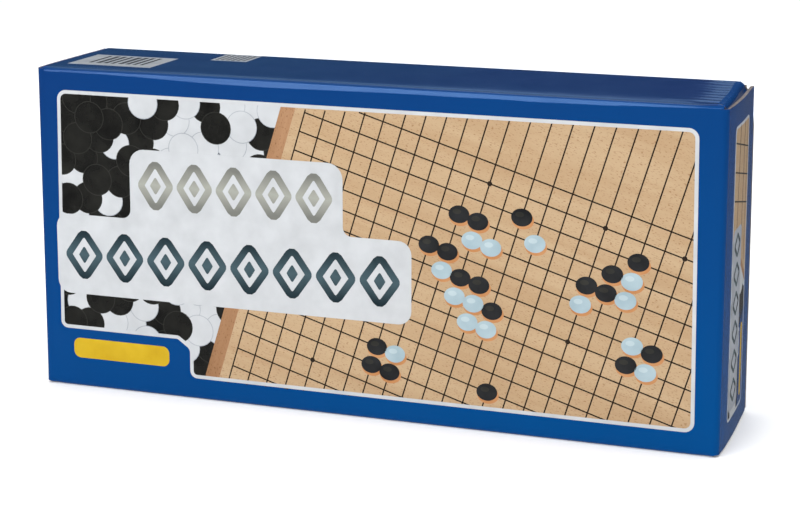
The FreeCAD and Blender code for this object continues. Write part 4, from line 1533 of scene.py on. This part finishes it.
@dataclass
class DiscPile:
    """Flat discs thrown down over each other, some black and some white, each with a rim in its shade."""

    finishes: Finishes
    pitch: float = 10.6
    radius: float = 7.2
    rim: float = 0.32
    stray: float = 1.9
    levels: int = 6
    rise: float = 0.0072
    points: int = 26
    black_share: float = 0.56
    tree: Tree = field(init=False)

    def __post_init__(self) -> None:
        """Makes the tree, in millimetres on the flat."""
        tree = Tree("disc_pile")
        columns, rows, seed = tree.sizes("Columns", "Rows", "Seed", kind="Int")
        pitch, radius, bottom, stray, rise = tree.sizes("Pitch", "Radius", "Bottom", "Stray", "Rise")
        corner, = tree.sizes("Corner", kind="Vector")
        pick, = tree.sizes("Pick", kind="Bool")
        spots = tree.add("Points", {"Count": tree.math("MULTIPLY", columns, rows)})
        row, column, across, up = tree.rows(tree.add("InputIndex"), columns, pitch)
        level = tree.math("MODULO", tree.math("MULTIPLY_ADD", row, 2.0, tree.math("MULTIPLY", column, 5.0)),
                          float(self.levels))
        there = tree.add("ShaderNodeVectorMath", {0: tree.vector(across, up), 1: corner}, operation="ADD")
        loose = tree.stray((1, 1, 0), seed)
        aside = tree.add("ShaderNodeVectorMath", {0: loose, 3: stray}, operation="SCALE")
        placed = tree.add("SetPosition", {"Geometry": spots, "Position": there, "Offset": aside})
        height = tree.math("SUBTRACT", tree.math("MULTIPLY", level, rise), bottom)
        chance = tree.node("FunctionNodeRandomValue", {"Probability": self.black_share, "Seed": seed},
                           data_type="BOOLEAN").outputs[3]
        wrong = tree.add("FunctionNodeBooleanMath", {0: chance, 1: pick}, operation="XOR")
        tall = tree.add("StoreNamedAttribute", {"Geometry": placed, "Name": "tall", "Value": height},
                        data_type="FLOAT", domain="POINT")
        kept = tree.add("DeleteGeometry", {"Geometry": tall, "Selection": wrong}, domain="POINT")
        found = tree.add("InputNamedAttribute", {"Name": "tall"}, data_type="FLOAT")
        disc = tree.add("MeshCylinder", {"Vertices": self.points, "Radius": radius, "Depth": 1.0})
        based = tree.add("Transform", {"Geometry": disc, "Translation": (0.0, 0.0, 0.5)})
        tree.close(tree.add("InstanceOnPoints", {"Points": kept, "Instance": based,
                                                 "Scale": tree.vector(1.0, 1.0, found)}))
        self.tree = tree

    def scatter(self, printing: Printing, corner: Flat, count: tuple[int, int], seed: int,
                room: tuple[Flat, Flat]) -> None:
        """Lays black and white discs on a printed face, each over its own rim.

        Args:
            printing: The face.
            corner: Middle of the first disc.
            count: Discs in a row, and rows.
            seed: What settles where each disc lies and which is black.
            room: Lower left and upper right corners of the place that they are cut to.
        """
        f, (columns, rows), sink = self.finishes, count, printing.sink
        outer, inner = self.radius, self.radius - self.rim
        kinds = (
            ("black_rims", f.rim, outer, Layer.DISC_RIMS), ("black_discs", f.black, inner, Layer.DISCS),
            ("white_rims", f.shade, outer, Layer.DISC_RIMS), ("white_discs", f.white, inner, Layer.DISCS))
        for name, material, radius, layer in kinds:
            mesh = self.tree.grow(
                material, unit=1.0, Columns=columns, Rows=rows, Pitch=self.pitch, Radius=radius,
                Bottom=-sink - layer.value, Corner=(*corner, -sink), Seed=seed,
                Pick=name.startswith("black"), Stray=self.stray, Rise=self.rise)
            bm = bmesh.new()
            bm.from_mesh(mesh)
            self.trim(bm, room)
            printing.lay(bm, name, material)

    def trim(self, bm: LooseMesh, room: tuple[Flat, Flat]) -> None:
        """Cuts the discs off at the edges of a room, and closes them there."""
        for axis in (Axis.X, Axis.Y):
            for corner, way in zip(room, (-1, 1)):
                bmesh.ops.bisect_plane(bm, geom=[*bm.verts, *bm.edges, *bm.faces], dist=1e-5,
                                       plane_co=Vector((*corner, 0)), plane_no=axis.unit() * way,
                                       clear_outer=True)
                bmesh.ops.holes_fill(bm, edges=[e for e in bm.edges if e.is_boundary])


def lozenge(u: float, v: float, half: Flat, radii: Flat) -> list[Flat]:
    """A rounded diamond, from its middle, its half sizes and the radii of its upright and side corners."""
    (wide, tall), (upright, beside) = half, radii
    return rounded([(u, v - tall, upright), (u + wide, v, beside), (u, v + tall, upright),
                    (u - wide, v, beside)], 3)


@dataclass
class FrontPrint:
    """The printed front: a framed field of discs and gridded wood, with a blank plaque."""

    shape: CartonShape
    finishes: Finishes
    pile: DiscPile
    left: float = -144.2
    right: float = 142.8
    low: float = 10.5
    high: float = 135.2
    corner: float = 3.5
    slant: float = 0.7
    frame: float = 1.6
    edge_top: float = -30.0
    edge_low: float = -68.0
    side: float = 6.5
    pitch: float = 8.6
    margin: float = 4.5
    line: float = 0.62
    columns: int = 28
    rows: tuple[int, int] = (-9, 17)
    reach: float = 320.0
    star: float = 1.1
    stone: Flat = (4.6, 3.8)
    shadow: Flat = (0.5, -1.2)
    gleam: Flat = (-0.9, 1.2)
    tab: tuple[Place, Place] = ((-81.0, 23.2, 4.0), (-87.5, 27.8, 2.0))
    inset: float = 3.0
    discs: tuple[int, int] = (11, 14)
    seed: int = 5
    bar: tuple[Flat, Flat, float] = ((-139.5, 13.6), (-92.0, 22.8), 3.2)
    plaque: tuple[Place, ...] = (
        (-146.4, 43.5, 6.0), (22.0, 43.5, 6.0), (22.0, 80.0, 6.0), (-9.0, 80.0, 4.0), (-9.0, 111.5, 7.0),
        (-109.5, 111.5, 7.0), (-109.5, 80.0, 4.0), (-146.4, 80.0, 6.0))
    tiers: tuple[tuple[float, float, int, float], ...] = ((-97.0, 18.7, 5, 95.6), (-133.0, 20.1, 8, 61.6))
    tile: float = 11.0
    tile_gap: float = 2.2
    tile_line: float = 3.2
    gem: Flat = (2.7, 4.2)
    stars: Spots = (
        (4, 3), (4, 9), (10, 9), (10, 3), (16, 9), (16, 15), (10, 15), (20, 15))
    dark: Spots = (
        (8, 11), (9, 11), (10, 10), (11, 10), (12, 9), (9, 13), (10, 13), (16, 12), (17, 12), (17, 13),
        (18, 14), (13, 5), (14, 5), (14, 4), (7, 5), (7, 4), (8, 4), (20, 10), (19, 9), (12, 14))
    light: Spots = (
        (9, 10), (10, 9), (11, 9), (11, 8), (12, 8), (10, 12), (11, 12), (16, 11), (18, 12), (18, 13),
        (13, 4), (15, 5), (8, 5), (8, 3), (19, 10), (20, 9), (13, 13))

    def framed(self) -> list[Flat]:
        """The frame's path, stepped round the blue tab at its lower left."""
        foot, shoulder = self.tab
        out, corner = self.slant, self.corner
        return rounded([(self.left - out, shoulder[1], 2.5), shoulder, foot, (foot[0], self.low, 2.5),
                        (self.right + out, self.low, corner), (self.right - out, self.high, corner),
                        (self.left + out, self.high, corner)])

    def wood(self, p: Printing) -> None:
        """The wood field, its brown side, its lines and its stones."""
        f = self.finishes
        top, low = Vector((self.edge_top, self.high)), Vector((self.edge_low, self.low))
        p.shape(f.wood, Layer.WOOD, rounded([
            (*low, 0), (self.right + self.slant, self.low, self.corner),
            (self.right - self.slant, self.high, self.corner), (*top, 0)]))
        up = (top - low).normalized()
        along = Vector((up.y, -up.x))
        band = along * -self.side
        rise = up * (band.y / up.y)
        across = band - rise
        p.shape(f.brown, Layer.WOOD, [tuple(q) for q in (low + across, low, top, top + across)])
        origin, end = low + along * self.margin, top + along * self.margin
        inside = [tuple(origin), (self.right, self.low), (self.right, self.high), tuple(end)]

        def node(i: int, j: int) -> Vector:
            """A crossing of the lines."""
            return origin + along * (self.pitch * i) + up * (self.pitch * j)

        lines = [(node(i, 0), up) for i in range(self.columns)]
        lines += [(node(0, j), along) for j in range(*self.rows)]
        for at, way in lines:
            p.rule(f.line, clipped(at - way * self.reach, at + way * self.reach, inside), self.line)
        for i, j in self.stars:
            if self.inside(node(i, j), self.inset):
                p.disc(f.line, Layer.STONES, node(i, j), (self.star, self.star), 14)
        wide, tall = self.stone
        for places, material, shine in ((self.dark, f.dark, f.rim), (self.light, f.pale, f.gleam)):
            for i, j in places:
                at = node(i, j)
                if self.inside(at, wide + 1):
                    p.disc(f.glow, Layer.SHADES, at + Vector(self.shadow), (wide * 1.04, tall))
                    p.disc(material, Layer.STONES, at, self.stone)
                    p.disc(shine, Layer.SHINE, at + Vector(self.gleam), (wide * 0.42, tall * 0.3), 16)

    def inside(self, at: Vector, room: float) -> bool:
        """Whether a place has that much room inside the frame."""
        return self.left + room < at.x < self.right - room and self.low + room < at.y < self.high - room

    def tiles(self, p: Printing) -> None:
        """A blank plaque in two tiers, each with a row of bevelled lozenges."""
        f = self.finishes
        p.shape(f.white, Layer.PLAQUE, rounded(self.plaque))
        for metal, (first, pitch, count, v) in zip((f.silver, f.teal), self.tiers):
            for k in range(count):
                u = first + pitch * k
                outer = lozenge(u, v, (pitch / 2 - self.tile_gap, self.tile), (2.0, 1.6))
                p.stroke(metal, Layer.TILES, outer, self.tile_line)
                p.shape(metal, Layer.TILES, lozenge(u, v, self.gem, (0.6, 0.6)))

    def build(self) -> None:
        """All of the front."""
        f = self.finishes
        p = Printing("front_print", self.shape.front, SET, "carton")
        inner = self.left + self.slant
        p.shape(f.ground, Layer.GROUND, rounded([
            (self.left - self.slant, self.low, 0), (self.edge_low, self.low, 0),
            (self.edge_top, self.high, 0), (inner, self.high, self.corner)]))
        room = ((inner, self.low), (self.edge_top + 1.0, self.high))
        self.pile.scatter(p, (self.left + self.inset, self.low + self.inset), self.discs, self.seed, room)
        self.wood(p)
        foot, shoulder = self.tab
        out = self.left - self.slant - 0.4
        p.shape(f.film, Layer.SHADES, rounded([
            (out, self.low, 0), (foot[0], self.low, 0), foot, shoulder, (out, shoulder[1], 0)]))
        p.stroke(f.white, Layer.FRAME, self.framed(), self.frame)
        p.shape(f.yellow, Layer.TILES, box_outline(*self.bar))
        self.tiles(p)
        p.build()


@dataclass
class EndPrint:
    """The narrow print of one closure, in the manner of the front."""

    shape: CartonShape
    finishes: Finishes
    pile: DiscPile
    half: float = 17.0
    low: float = 10.5
    high: float = 134.0
    wood_left: float = 92.0
    wood_right: float = 66.0
    band: float = 3.5
    line: float = 0.6
    lines_up: tuple[Flat, ...] = ((-9.0, 88.0), (2.0, 80.0), (11.0, 73.5))
    lines_across: Places = (104.0, 116.0, 128.0)
    line_lean: Flat = (3.0, -7.0)
    first_disc: Flat = (-15.0, 12.0)
    discs: tuple[int, int] = (4, 8)
    disc_top: float = 78.0
    seed: int = 9
    tab: tuple[Place, ...] = ((17.0, 52.0, 0), (6.0, 46.0, 3.0))
    bar: tuple[Flat, Flat, float] = ((9.6, 14.0), (13.8, 46.0), 1.8)
    frame: Flat = (2.5, 1.1)
    plaque: tuple[Flat, Flat, float] = ((-15.6, 13.5), (3.4, 91.0), 3.5)
    tiles: int = 6
    tile_at: Flat = (-6.1, 21.6)
    tile_pitch: float = 12.4
    tile_half: Flat = (6.3, 4.6)
    tile_line: float = 1.8

    def build(self, side: Side) -> None:
        """The print of one end."""
        f, half, left, right = self.finishes, self.half, self.wood_left, self.wood_right
        p = Printing(f"{side.label}_end_print", self.shape.end(side), f"{side.label}_closure", "closures")
        p.shape(f.ground, Layer.GROUND, [(-half, self.low), (half, self.low), (half, right), (-half, left)])
        self.pile.scatter(p, self.first_disc, self.discs, self.seed + side.value,
                          ((-half, self.low), (half, self.disc_top)))
        p.shape(f.wood, Layer.WOOD, [(-half, left), (half, right), (half, self.high), (-half, self.high)])
        p.shape(f.brown, Layer.LINES, [
            (-half, left - self.band), (half, right - self.band), (half, right), (-half, left)])
        along, down = self.line_lean
        for u, v in self.lines_up:
            p.rule(f.line, (Vector((u, v)), Vector((u + along, self.high))), self.line)
        for v in self.lines_across:
            p.rule(f.line, (Vector((-half, v)), Vector((half, v + down))), self.line)
        foot = (self.tab[-1][0], self.low, 0)
        p.shape(f.film, Layer.STONES, rounded([foot, (half, self.low, 0), *self.tab]))
        p.shape(f.yellow, Layer.TILES, box_outline(*self.bar))
        radius, width = self.frame
        p.stroke(f.white, Layer.FRAME, box_outline((-half, self.low), (half, self.high), radius), width)
        p.shape(f.grey, Layer.PLAQUE, box_outline(*self.plaque))
        u, first = self.tile_at
        for k in range(self.tiles):
            outer = lozenge(u, first + self.tile_pitch * k, self.tile_half, (1.0, 1.0))
            p.stroke(f.end_teal, Layer.TILES, outer, self.tile_line)
        p.build()


@dataclass
class TopPrint:
    """Two pale labels on the top wall, one barred and one dotted."""

    shape: CartonShape
    finishes: Finishes
    barred: tuple[Flat, Flat] = ((-145.5, -20.0), (-104.8, 9.5))
    bars: int = 8
    bar_at: Flat = (-138.0, -14.0)
    bar_pitch: float = 3.6
    bar_end: float = 6.5
    bar_widths: Flat = (1.5, 0.9)
    dotted: tuple[Flat, Flat] = ((-89.5, 10.8), (-72.0, 29.5))
    dots: int = 6
    dot_at: Flat = (-88.0, 12.6)
    dot_pitch: float = 2.6
    dot: float = 1.5

    def build(self) -> None:
        """Both labels."""
        f = self.finishes
        p = Printing("top_print", self.shape.top, SET, "carton", grid=(4.0, 3.0))
        p.shape(f.label, Layer.GROUND, box_outline(*self.barred, 0))
        least, more = self.bar_widths
        for k in range(self.bars):
            u, wide = self.bar_at[0] + self.bar_pitch * k, least + more * (k * 5 % 7) / 6
            p.shape(f.bar, Layer.LINES, box_outline((u, self.bar_at[1]), (u + wide, self.bar_end), 0))
        p.shape(f.label, Layer.GROUND, box_outline(*self.dotted, 0))
        for i in range(self.dots):
            for j in range(self.dots):
                u, v = self.dot_at[0] + self.dot_pitch * i, self.dot_at[1] + self.dot_pitch * j
                p.shape(f.bar, Layer.LINES, box_outline((u, v), (u + self.dot, v + self.dot), 0))
        p.build()


# ------------------------ contents


@dataclass
class PlayingLines:
    """The grid that is printed on the two outer faces of the folded board."""

    finishes: Finishes
    lines: int = 19
    lines_up: int = 9
    pitch_x: float = 15.6
    pitch_z: float = 14.5
    first: float = 10.5
    line: float = 0.9
    rise: float = 0.06
    proud: float = 0.2
    faces: tuple[tuple[str, float, int], ...] = (("front", -30.6, -1), ("back", 27.03, 1))

    def tree(self) -> Tree:
        """Crossing bars, centred along X and counted up from Y 0."""
        tree = Tree("playing_lines")
        across, up = tree.sizes("Across", "Up", kind="Int")
        pitch_x, pitch_z, line, rise, first = tree.sizes("Pitch X", "Pitch Z", "Line", "Rise", "First")
        width = tree.math("MULTIPLY", tree.math("SUBTRACT", across, 1), pitch_x)
        height = tree.math("MULTIPLY", tree.math("SUBTRACT", up, 1), pitch_z)
        left = tree.math("MULTIPLY", width, -0.5)
        middle = tree.math("ADD", first, tree.math("MULTIPLY", height, 0.5))
        joined = tree.node("JoinGeometry")
        for count, start, offset, length, turned in (
                (across, tree.vector(left, middle), tree.vector(pitch_x), height, True),
                (up, tree.vector(0.0, first), tree.vector(0.0, pitch_z), width, False)):
            spots = tree.add("MeshLine", {"Count": count, "Start Location": start, "Offset": offset})
            long = tree.math("ADD", length, line)
            size = tree.vector(line, long, rise) if turned else tree.vector(long, line, rise)
            bar = tree.add("MeshCube", {"Size": size})
            tree.link(tree.add("InstanceOnPoints", {"Points": spots, "Instance": bar}), joined.inputs[0])
        tree.close(joined.outputs[0])
        return tree

    def build(self) -> None:
        """The lines of both halves."""
        tree = self.tree()
        for label, face, way in self.faces:
            mesh = tree.grow(self.finishes.line, Across=self.lines, Up=self.lines_up, Pitch_X=self.pitch_x,
                             Pitch_Z=self.pitch_z, Line=self.line, Rise=self.rise, First=self.first)
            mesh.transform(Matrix.Translation((0, (face + way * self.rise * self.proud) * MM, 0))
                           @ Matrix.Rotation(math.pi / 2, 4, "X"))
            mesh.update()
            shown(f"{label}_playing_lines", mesh, SET, "playing_boards")


@dataclass
class StoneHeap:
    """Stones that lie in two layers in their drawer, each a little turned and tipped."""

    finishes: Finishes
    across: float = 14.0
    thick: float = 5.3
    columns: int = 15
    pitch: float = 15.3
    layer_gap: float = 6.2
    stray: Place = (0.0006, 0.0001, 0.0005)
    tilt: Place = (0.05, 3.0, 0.05)
    left: float = -110.9
    low: float = 18.0
    heaps: tuple[tuple[str, int, float, int], ...] = (("black", 181, -16.8, 3), ("white", 180, 7.0, 4))

    def tree(self) -> Tree:
        """Lens-shaped stones in rows, in the plane of X and Z."""
        tree = Tree("stone_heap")
        count, columns, seed = tree.sizes("Count", "Columns", "Seed", kind="Int")
        pitch, gap, across, thick = tree.sizes("Pitch", "Layer Gap", "Across", "Thick")
        corner, = tree.sizes("Corner", kind="Vector")
        spots = tree.add("Points", {"Count": count})
        index = tree.add("InputIndex")
        layer = tree.math("MODULO", index, 2.0)
        spot = tree.math("FLOOR", tree.math("DIVIDE", index, 2.0))
        _, _, x, z = tree.rows(spot, columns, pitch, layer)
        grid = tree.vector(x, tree.math("MULTIPLY", layer, gap), z)
        there = tree.add("ShaderNodeVectorMath", {0: grid, 1: corner}, operation="ADD")
        placed = tree.add("SetPosition", {"Geometry": spots, "Position": there,
                                          "Offset": tree.stray(self.stray, seed)})
        ball = tree.add("MeshUVSphere", {"Segments": 12, "Rings": 8, "Radius": 1.0})
        half = tree.math("MULTIPLY", across, 0.5)
        size = tree.vector(half, tree.math("MULTIPLY", thick, 0.5), half)
        lens = tree.add("Transform", {"Geometry": ball, "Scale": size})
        smooth = tree.add("SetShadeSmooth", {"Geometry": lens})
        tree.close(tree.add("InstanceOnPoints", {"Points": placed, "Instance": smooth,
                                                 "Rotation": tree.stray(self.tilt, seed)}))
        return tree

    def build(self) -> None:
        """The stones of both drawers."""
        tree = self.tree()
        materials = {"black": self.finishes.black_stone, "white": self.finishes.white_stone}
        for label, count, y, seed in self.heaps:
            mesh = tree.grow(materials[label], Count=count, Columns=self.columns, Seed=seed, Pitch=self.pitch,
                             Layer_Gap=self.layer_gap, Across=self.across, Thick=self.thick,
                             Corner=(self.left, y, self.low))
            shown(f"{label}_stone_heap", mesh, SET, f"{label}_stones", f"{label}_stones")


@dataclass
class RuleSheet:
    """The rules, a sheet folded once that stands behind the board."""

    finishes: Finishes
    left: float = -74.0
    right: float = 74.0
    low: float = 20.5
    high: float = 125.5
    near: float = 27.3
    far: float = 28.15
    paper: float = 0.13
    short: float = 0.9
    spots: Place = (-40.0, 0.0, 40.0)
    smooth: float = 40.0

    def build(self) -> None:
        """The folded sheet, from one line that runs along a leaf, round the fold and back."""
        radius = (self.far - self.near - self.paper) / 2
        fold = Vector((self.left + radius + self.paper / 2, (self.near + self.far) / 2))
        bend = [math.pi / 6 * k for k in range(-3, 4)]
        line = [*(Vector((x, fold.y - radius)) for x in (self.right - self.short, *reversed(self.spots))),
                *(fold + Vector((-math.cos(t), math.sin(t))) * radius for t in bend),
                *(Vector((x, fold.y + radius)) for x in (*self.spots, self.right))]
        sides: list[list[Vector]] = [[], []]
        for i, at in enumerate(line):
            way = (line[min(i + 1, len(line) - 1)] - line[max(i - 1, 0)]).normalized()
            normal = Vector((-way.y, way.x)) * self.paper / 2
            sides[0].append(at + normal)
            sides[1].append(at - normal)
        ring = [*sides[0], *reversed(sides[1])]
        bm = bmesh.new()
        skinned(bm, [[bm.verts.new((p.x, p.y, z)) for p in ring] for z in (self.low, self.high)])
        mesh = settled(bm, "rule_sheet", [self.finishes.paper], self.smooth)
        shown("rule_sheet", mesh, SET, "rules_paper", "rule_booklet")


@dataclass
class GameBoard:
    """Finishes for the parts of the folding board that keep their own shape."""

    finishes: Finishes
    nodes: dict[str, bpy.types.Object]

    def build(self) -> None:
        """Dresses each part."""
        f = self.finishes
        dressed = {
            "playing_board": f.board, "fold_rail": f.rail_x, "right_rail": f.rail_z, "left_rail": f.rail_z,
            "base_panel": f.plywood, "drawer_base": f.plywood, "drawer_front": f.rail_x,
            "drawer_back": f.drawer_x, "drawer_right_side": f.drawer_z, "drawer_left_side": f.drawer_z,
            "hinge_leaves": f.brass, "hinge_pins": f.brass, "hinge_screws": f.brass}
        for name, node in self.nodes.items():
            for ending, material in dressed.items():
                if name.endswith(ending):
                    node.data.materials.clear()
                    node.data.materials.append(material)
                    LOG.info("%s is dressed in %s", name, material.name)


# ------------------------ studio


@dataclass(frozen=True)
class Lamp:
    """A soft lamp: where it stands and aims and its size, in metres, and its power in watts."""

    name: str
    at: Place
    aim: Place
    size: Flat
    power: float
    mirrored: bool
    tint: Place = (1.0, 1.0, 1.0)

    def build(self) -> None:
        """Lights the lamp, which shows in glossy faces only where it is mirrored."""
        data = bpy.data.lights.new(self.name, "AREA")
        data.shape = "RECTANGLE"
        data.size, data.size_y = self.size
        data.energy = self.power
        data.color = self.tint
        lamp = put(self.name, data)
        lamp.visible_glossy = self.mirrored
        lamp.location = self.at
        lamp.rotation_euler = (Vector(self.aim) - Vector(self.at)).to_track_quat("-Z", "Y").to_euler()


@dataclass
class Studio:
    """Pale floor, soft lamps and the camera."""

    focal_px: float = 2033.65
    frame_px: float = 800.0
    shift_px: float = -104.0
    sensor: float = 36.0
    camera_at: Place = (0.29551, -0.82013, 0.28038)
    yaw: float = 19.48
    pitch: float = -10.92
    roll: float = -0.04
    floor_half: float = 6.0
    floor_glow: float = 0.15
    levels: tuple[Flat, ...] = (
        (0.25, 0.25), (0.32, 0.15), (0.42, 0.11), (0.50, 0.02), (0.62, 0.02), (0.95, 0.5))
    lamps: tuple[Lamp, ...] = (
        Lamp("key", (-0.55, -1.45, 1.04), (0, 0, 0.08), (1.1, 0.35), 17.0, True),
        Lamp("overhead", (0.1, 0.1, 1.7), (0, 0, 0), (2.2, 2.2), 28.0, False),
        Lamp("rear", (-0.4, 1.8, 1.1), (0, 0, 0.07), (1.4, 0.8), 8.0, False),
        Lamp("side", (1.25, -0.3, 0.7), (0.1, 0, 0.07), (1.0, 0.8), 2.0, False),
        Lamp("strip", (-0.35, 1.5, 0.95), (0, 0, 0.1), (1.4, 0.4), 1.4, True, (0.48, 0.8, 1.0)))

    def camera(self) -> None:
        """The camera, at the angle that shows front, top and right end."""
        data = bpy.data.cameras.new("view")
        data.sensor_width = self.sensor
        data.lens = self.focal_px / self.frame_px * data.sensor_width
        data.shift_y = self.shift_px / self.frame_px
        data.clip_start, data.clip_end = 0.02, 50.0
        yaw, tip, roll = (math.radians(a) for a in (self.yaw, 90 + self.pitch, -self.roll))
        turn = Matrix.Rotation(yaw, 4, "Z") @ Matrix.Rotation(tip, 4, "X") @ Matrix.Rotation(roll, 4, "Z")
        camera = put("view", data)
        camera.matrix_world = Matrix.Translation(self.camera_at) @ turn
        bpy.context.scene.camera = camera

    def floor(self) -> None:
        """A plain pale floor."""
        half = self.floor_half
        mesh = bpy.data.meshes.new("floor")
        corners = [(-half, -half, 0), (half, -half, 0), (half, half, 0), (-half, half, 0)]
        mesh.from_pydata(corners, [], [(0, 1, 2, 3)])
        shader = Shader("floor_paper", Roughness=0.9, Specular_IOR_Level=0.1, Emission_Color=(1, 1, 1, 1),
                        Emission_Strength=self.floor_glow)
        cloud = shader.noise(size=900.0, detail=2.0)
        shader.paint(shader.ramp(cloud, (0.2, ink("f6f6f7")), (0.8, ink("fbfbfb"))))
        mesh.materials.append(shader.material)
        floor = put("floor", mesh)
        floor.visible_glossy = False

    def sky(self) -> None:
        """A dim surround for reflections, which the camera sees as pale."""
        world = bpy.data.worlds.new("surround")
        bpy.context.scene.world = world
        world.use_nodes = True
        sky, nodes = Nodes(world.node_tree), world.node_tree.nodes
        ways = sky.node("ShaderNodeSeparateXYZ", {0: sky.node("ShaderNodeTexCoord").outputs["Generated"]})
        height = sky.math("MULTIPLY_ADD", ways.outputs[2], 0.5, 0.5)
        stops = [(at, (level, level * 1.01, level * 1.03, 1.0)) for at, level in self.levels]
        dim = nodes["Background"]
        sky.link(sky.ramp(height, *stops), dim.inputs["Color"])
        pale = sky.add("ShaderNodeBackground", {"Color": (1.0, 1.0, 1.0, 1.0)})
        seen = sky.node("ShaderNodeLightPath").outputs["Is Camera Ray"]
        sky.link(sky.add("ShaderNodeMixShader", {0: seen, 1: dim.outputs[0], 2: pale}),
                 nodes["World Output"].inputs["Surface"])

    def build(self) -> None:
        """The whole studio."""
        bpy.context.scene.view_settings.view_transform = "Standard"
        self.camera()
        self.floor()
        self.sky()
        for lamp in self.lamps:
            lamp.build()


def main() -> None:
    """Builds the studio and the set, in order."""
    logging.basicConfig(level=logging.INFO, format="%(message)s")
    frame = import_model()
    nodes = frame["nodes"]
    Studio().build()
    finishes = Finishes()
    shape = CartonShape()
    CartonSkin(shape, finishes, nodes).build()
    Creases(shape, finishes).build()
    Flutes(finishes, shape).build()
    pile = DiscPile(finishes)
    FrontPrint(shape, finishes, pile).build()
    TopPrint(shape, finishes).build()
    for side in Side:
        EndPrint(shape, finishes, pile).build(side)
    GameBoard(finishes, nodes).build()
    PlayingLines(finishes).build()
    StoneHeap(finishes).build()
    RuleSheet(finishes).build()


if __name__ == "__main__":
    main()
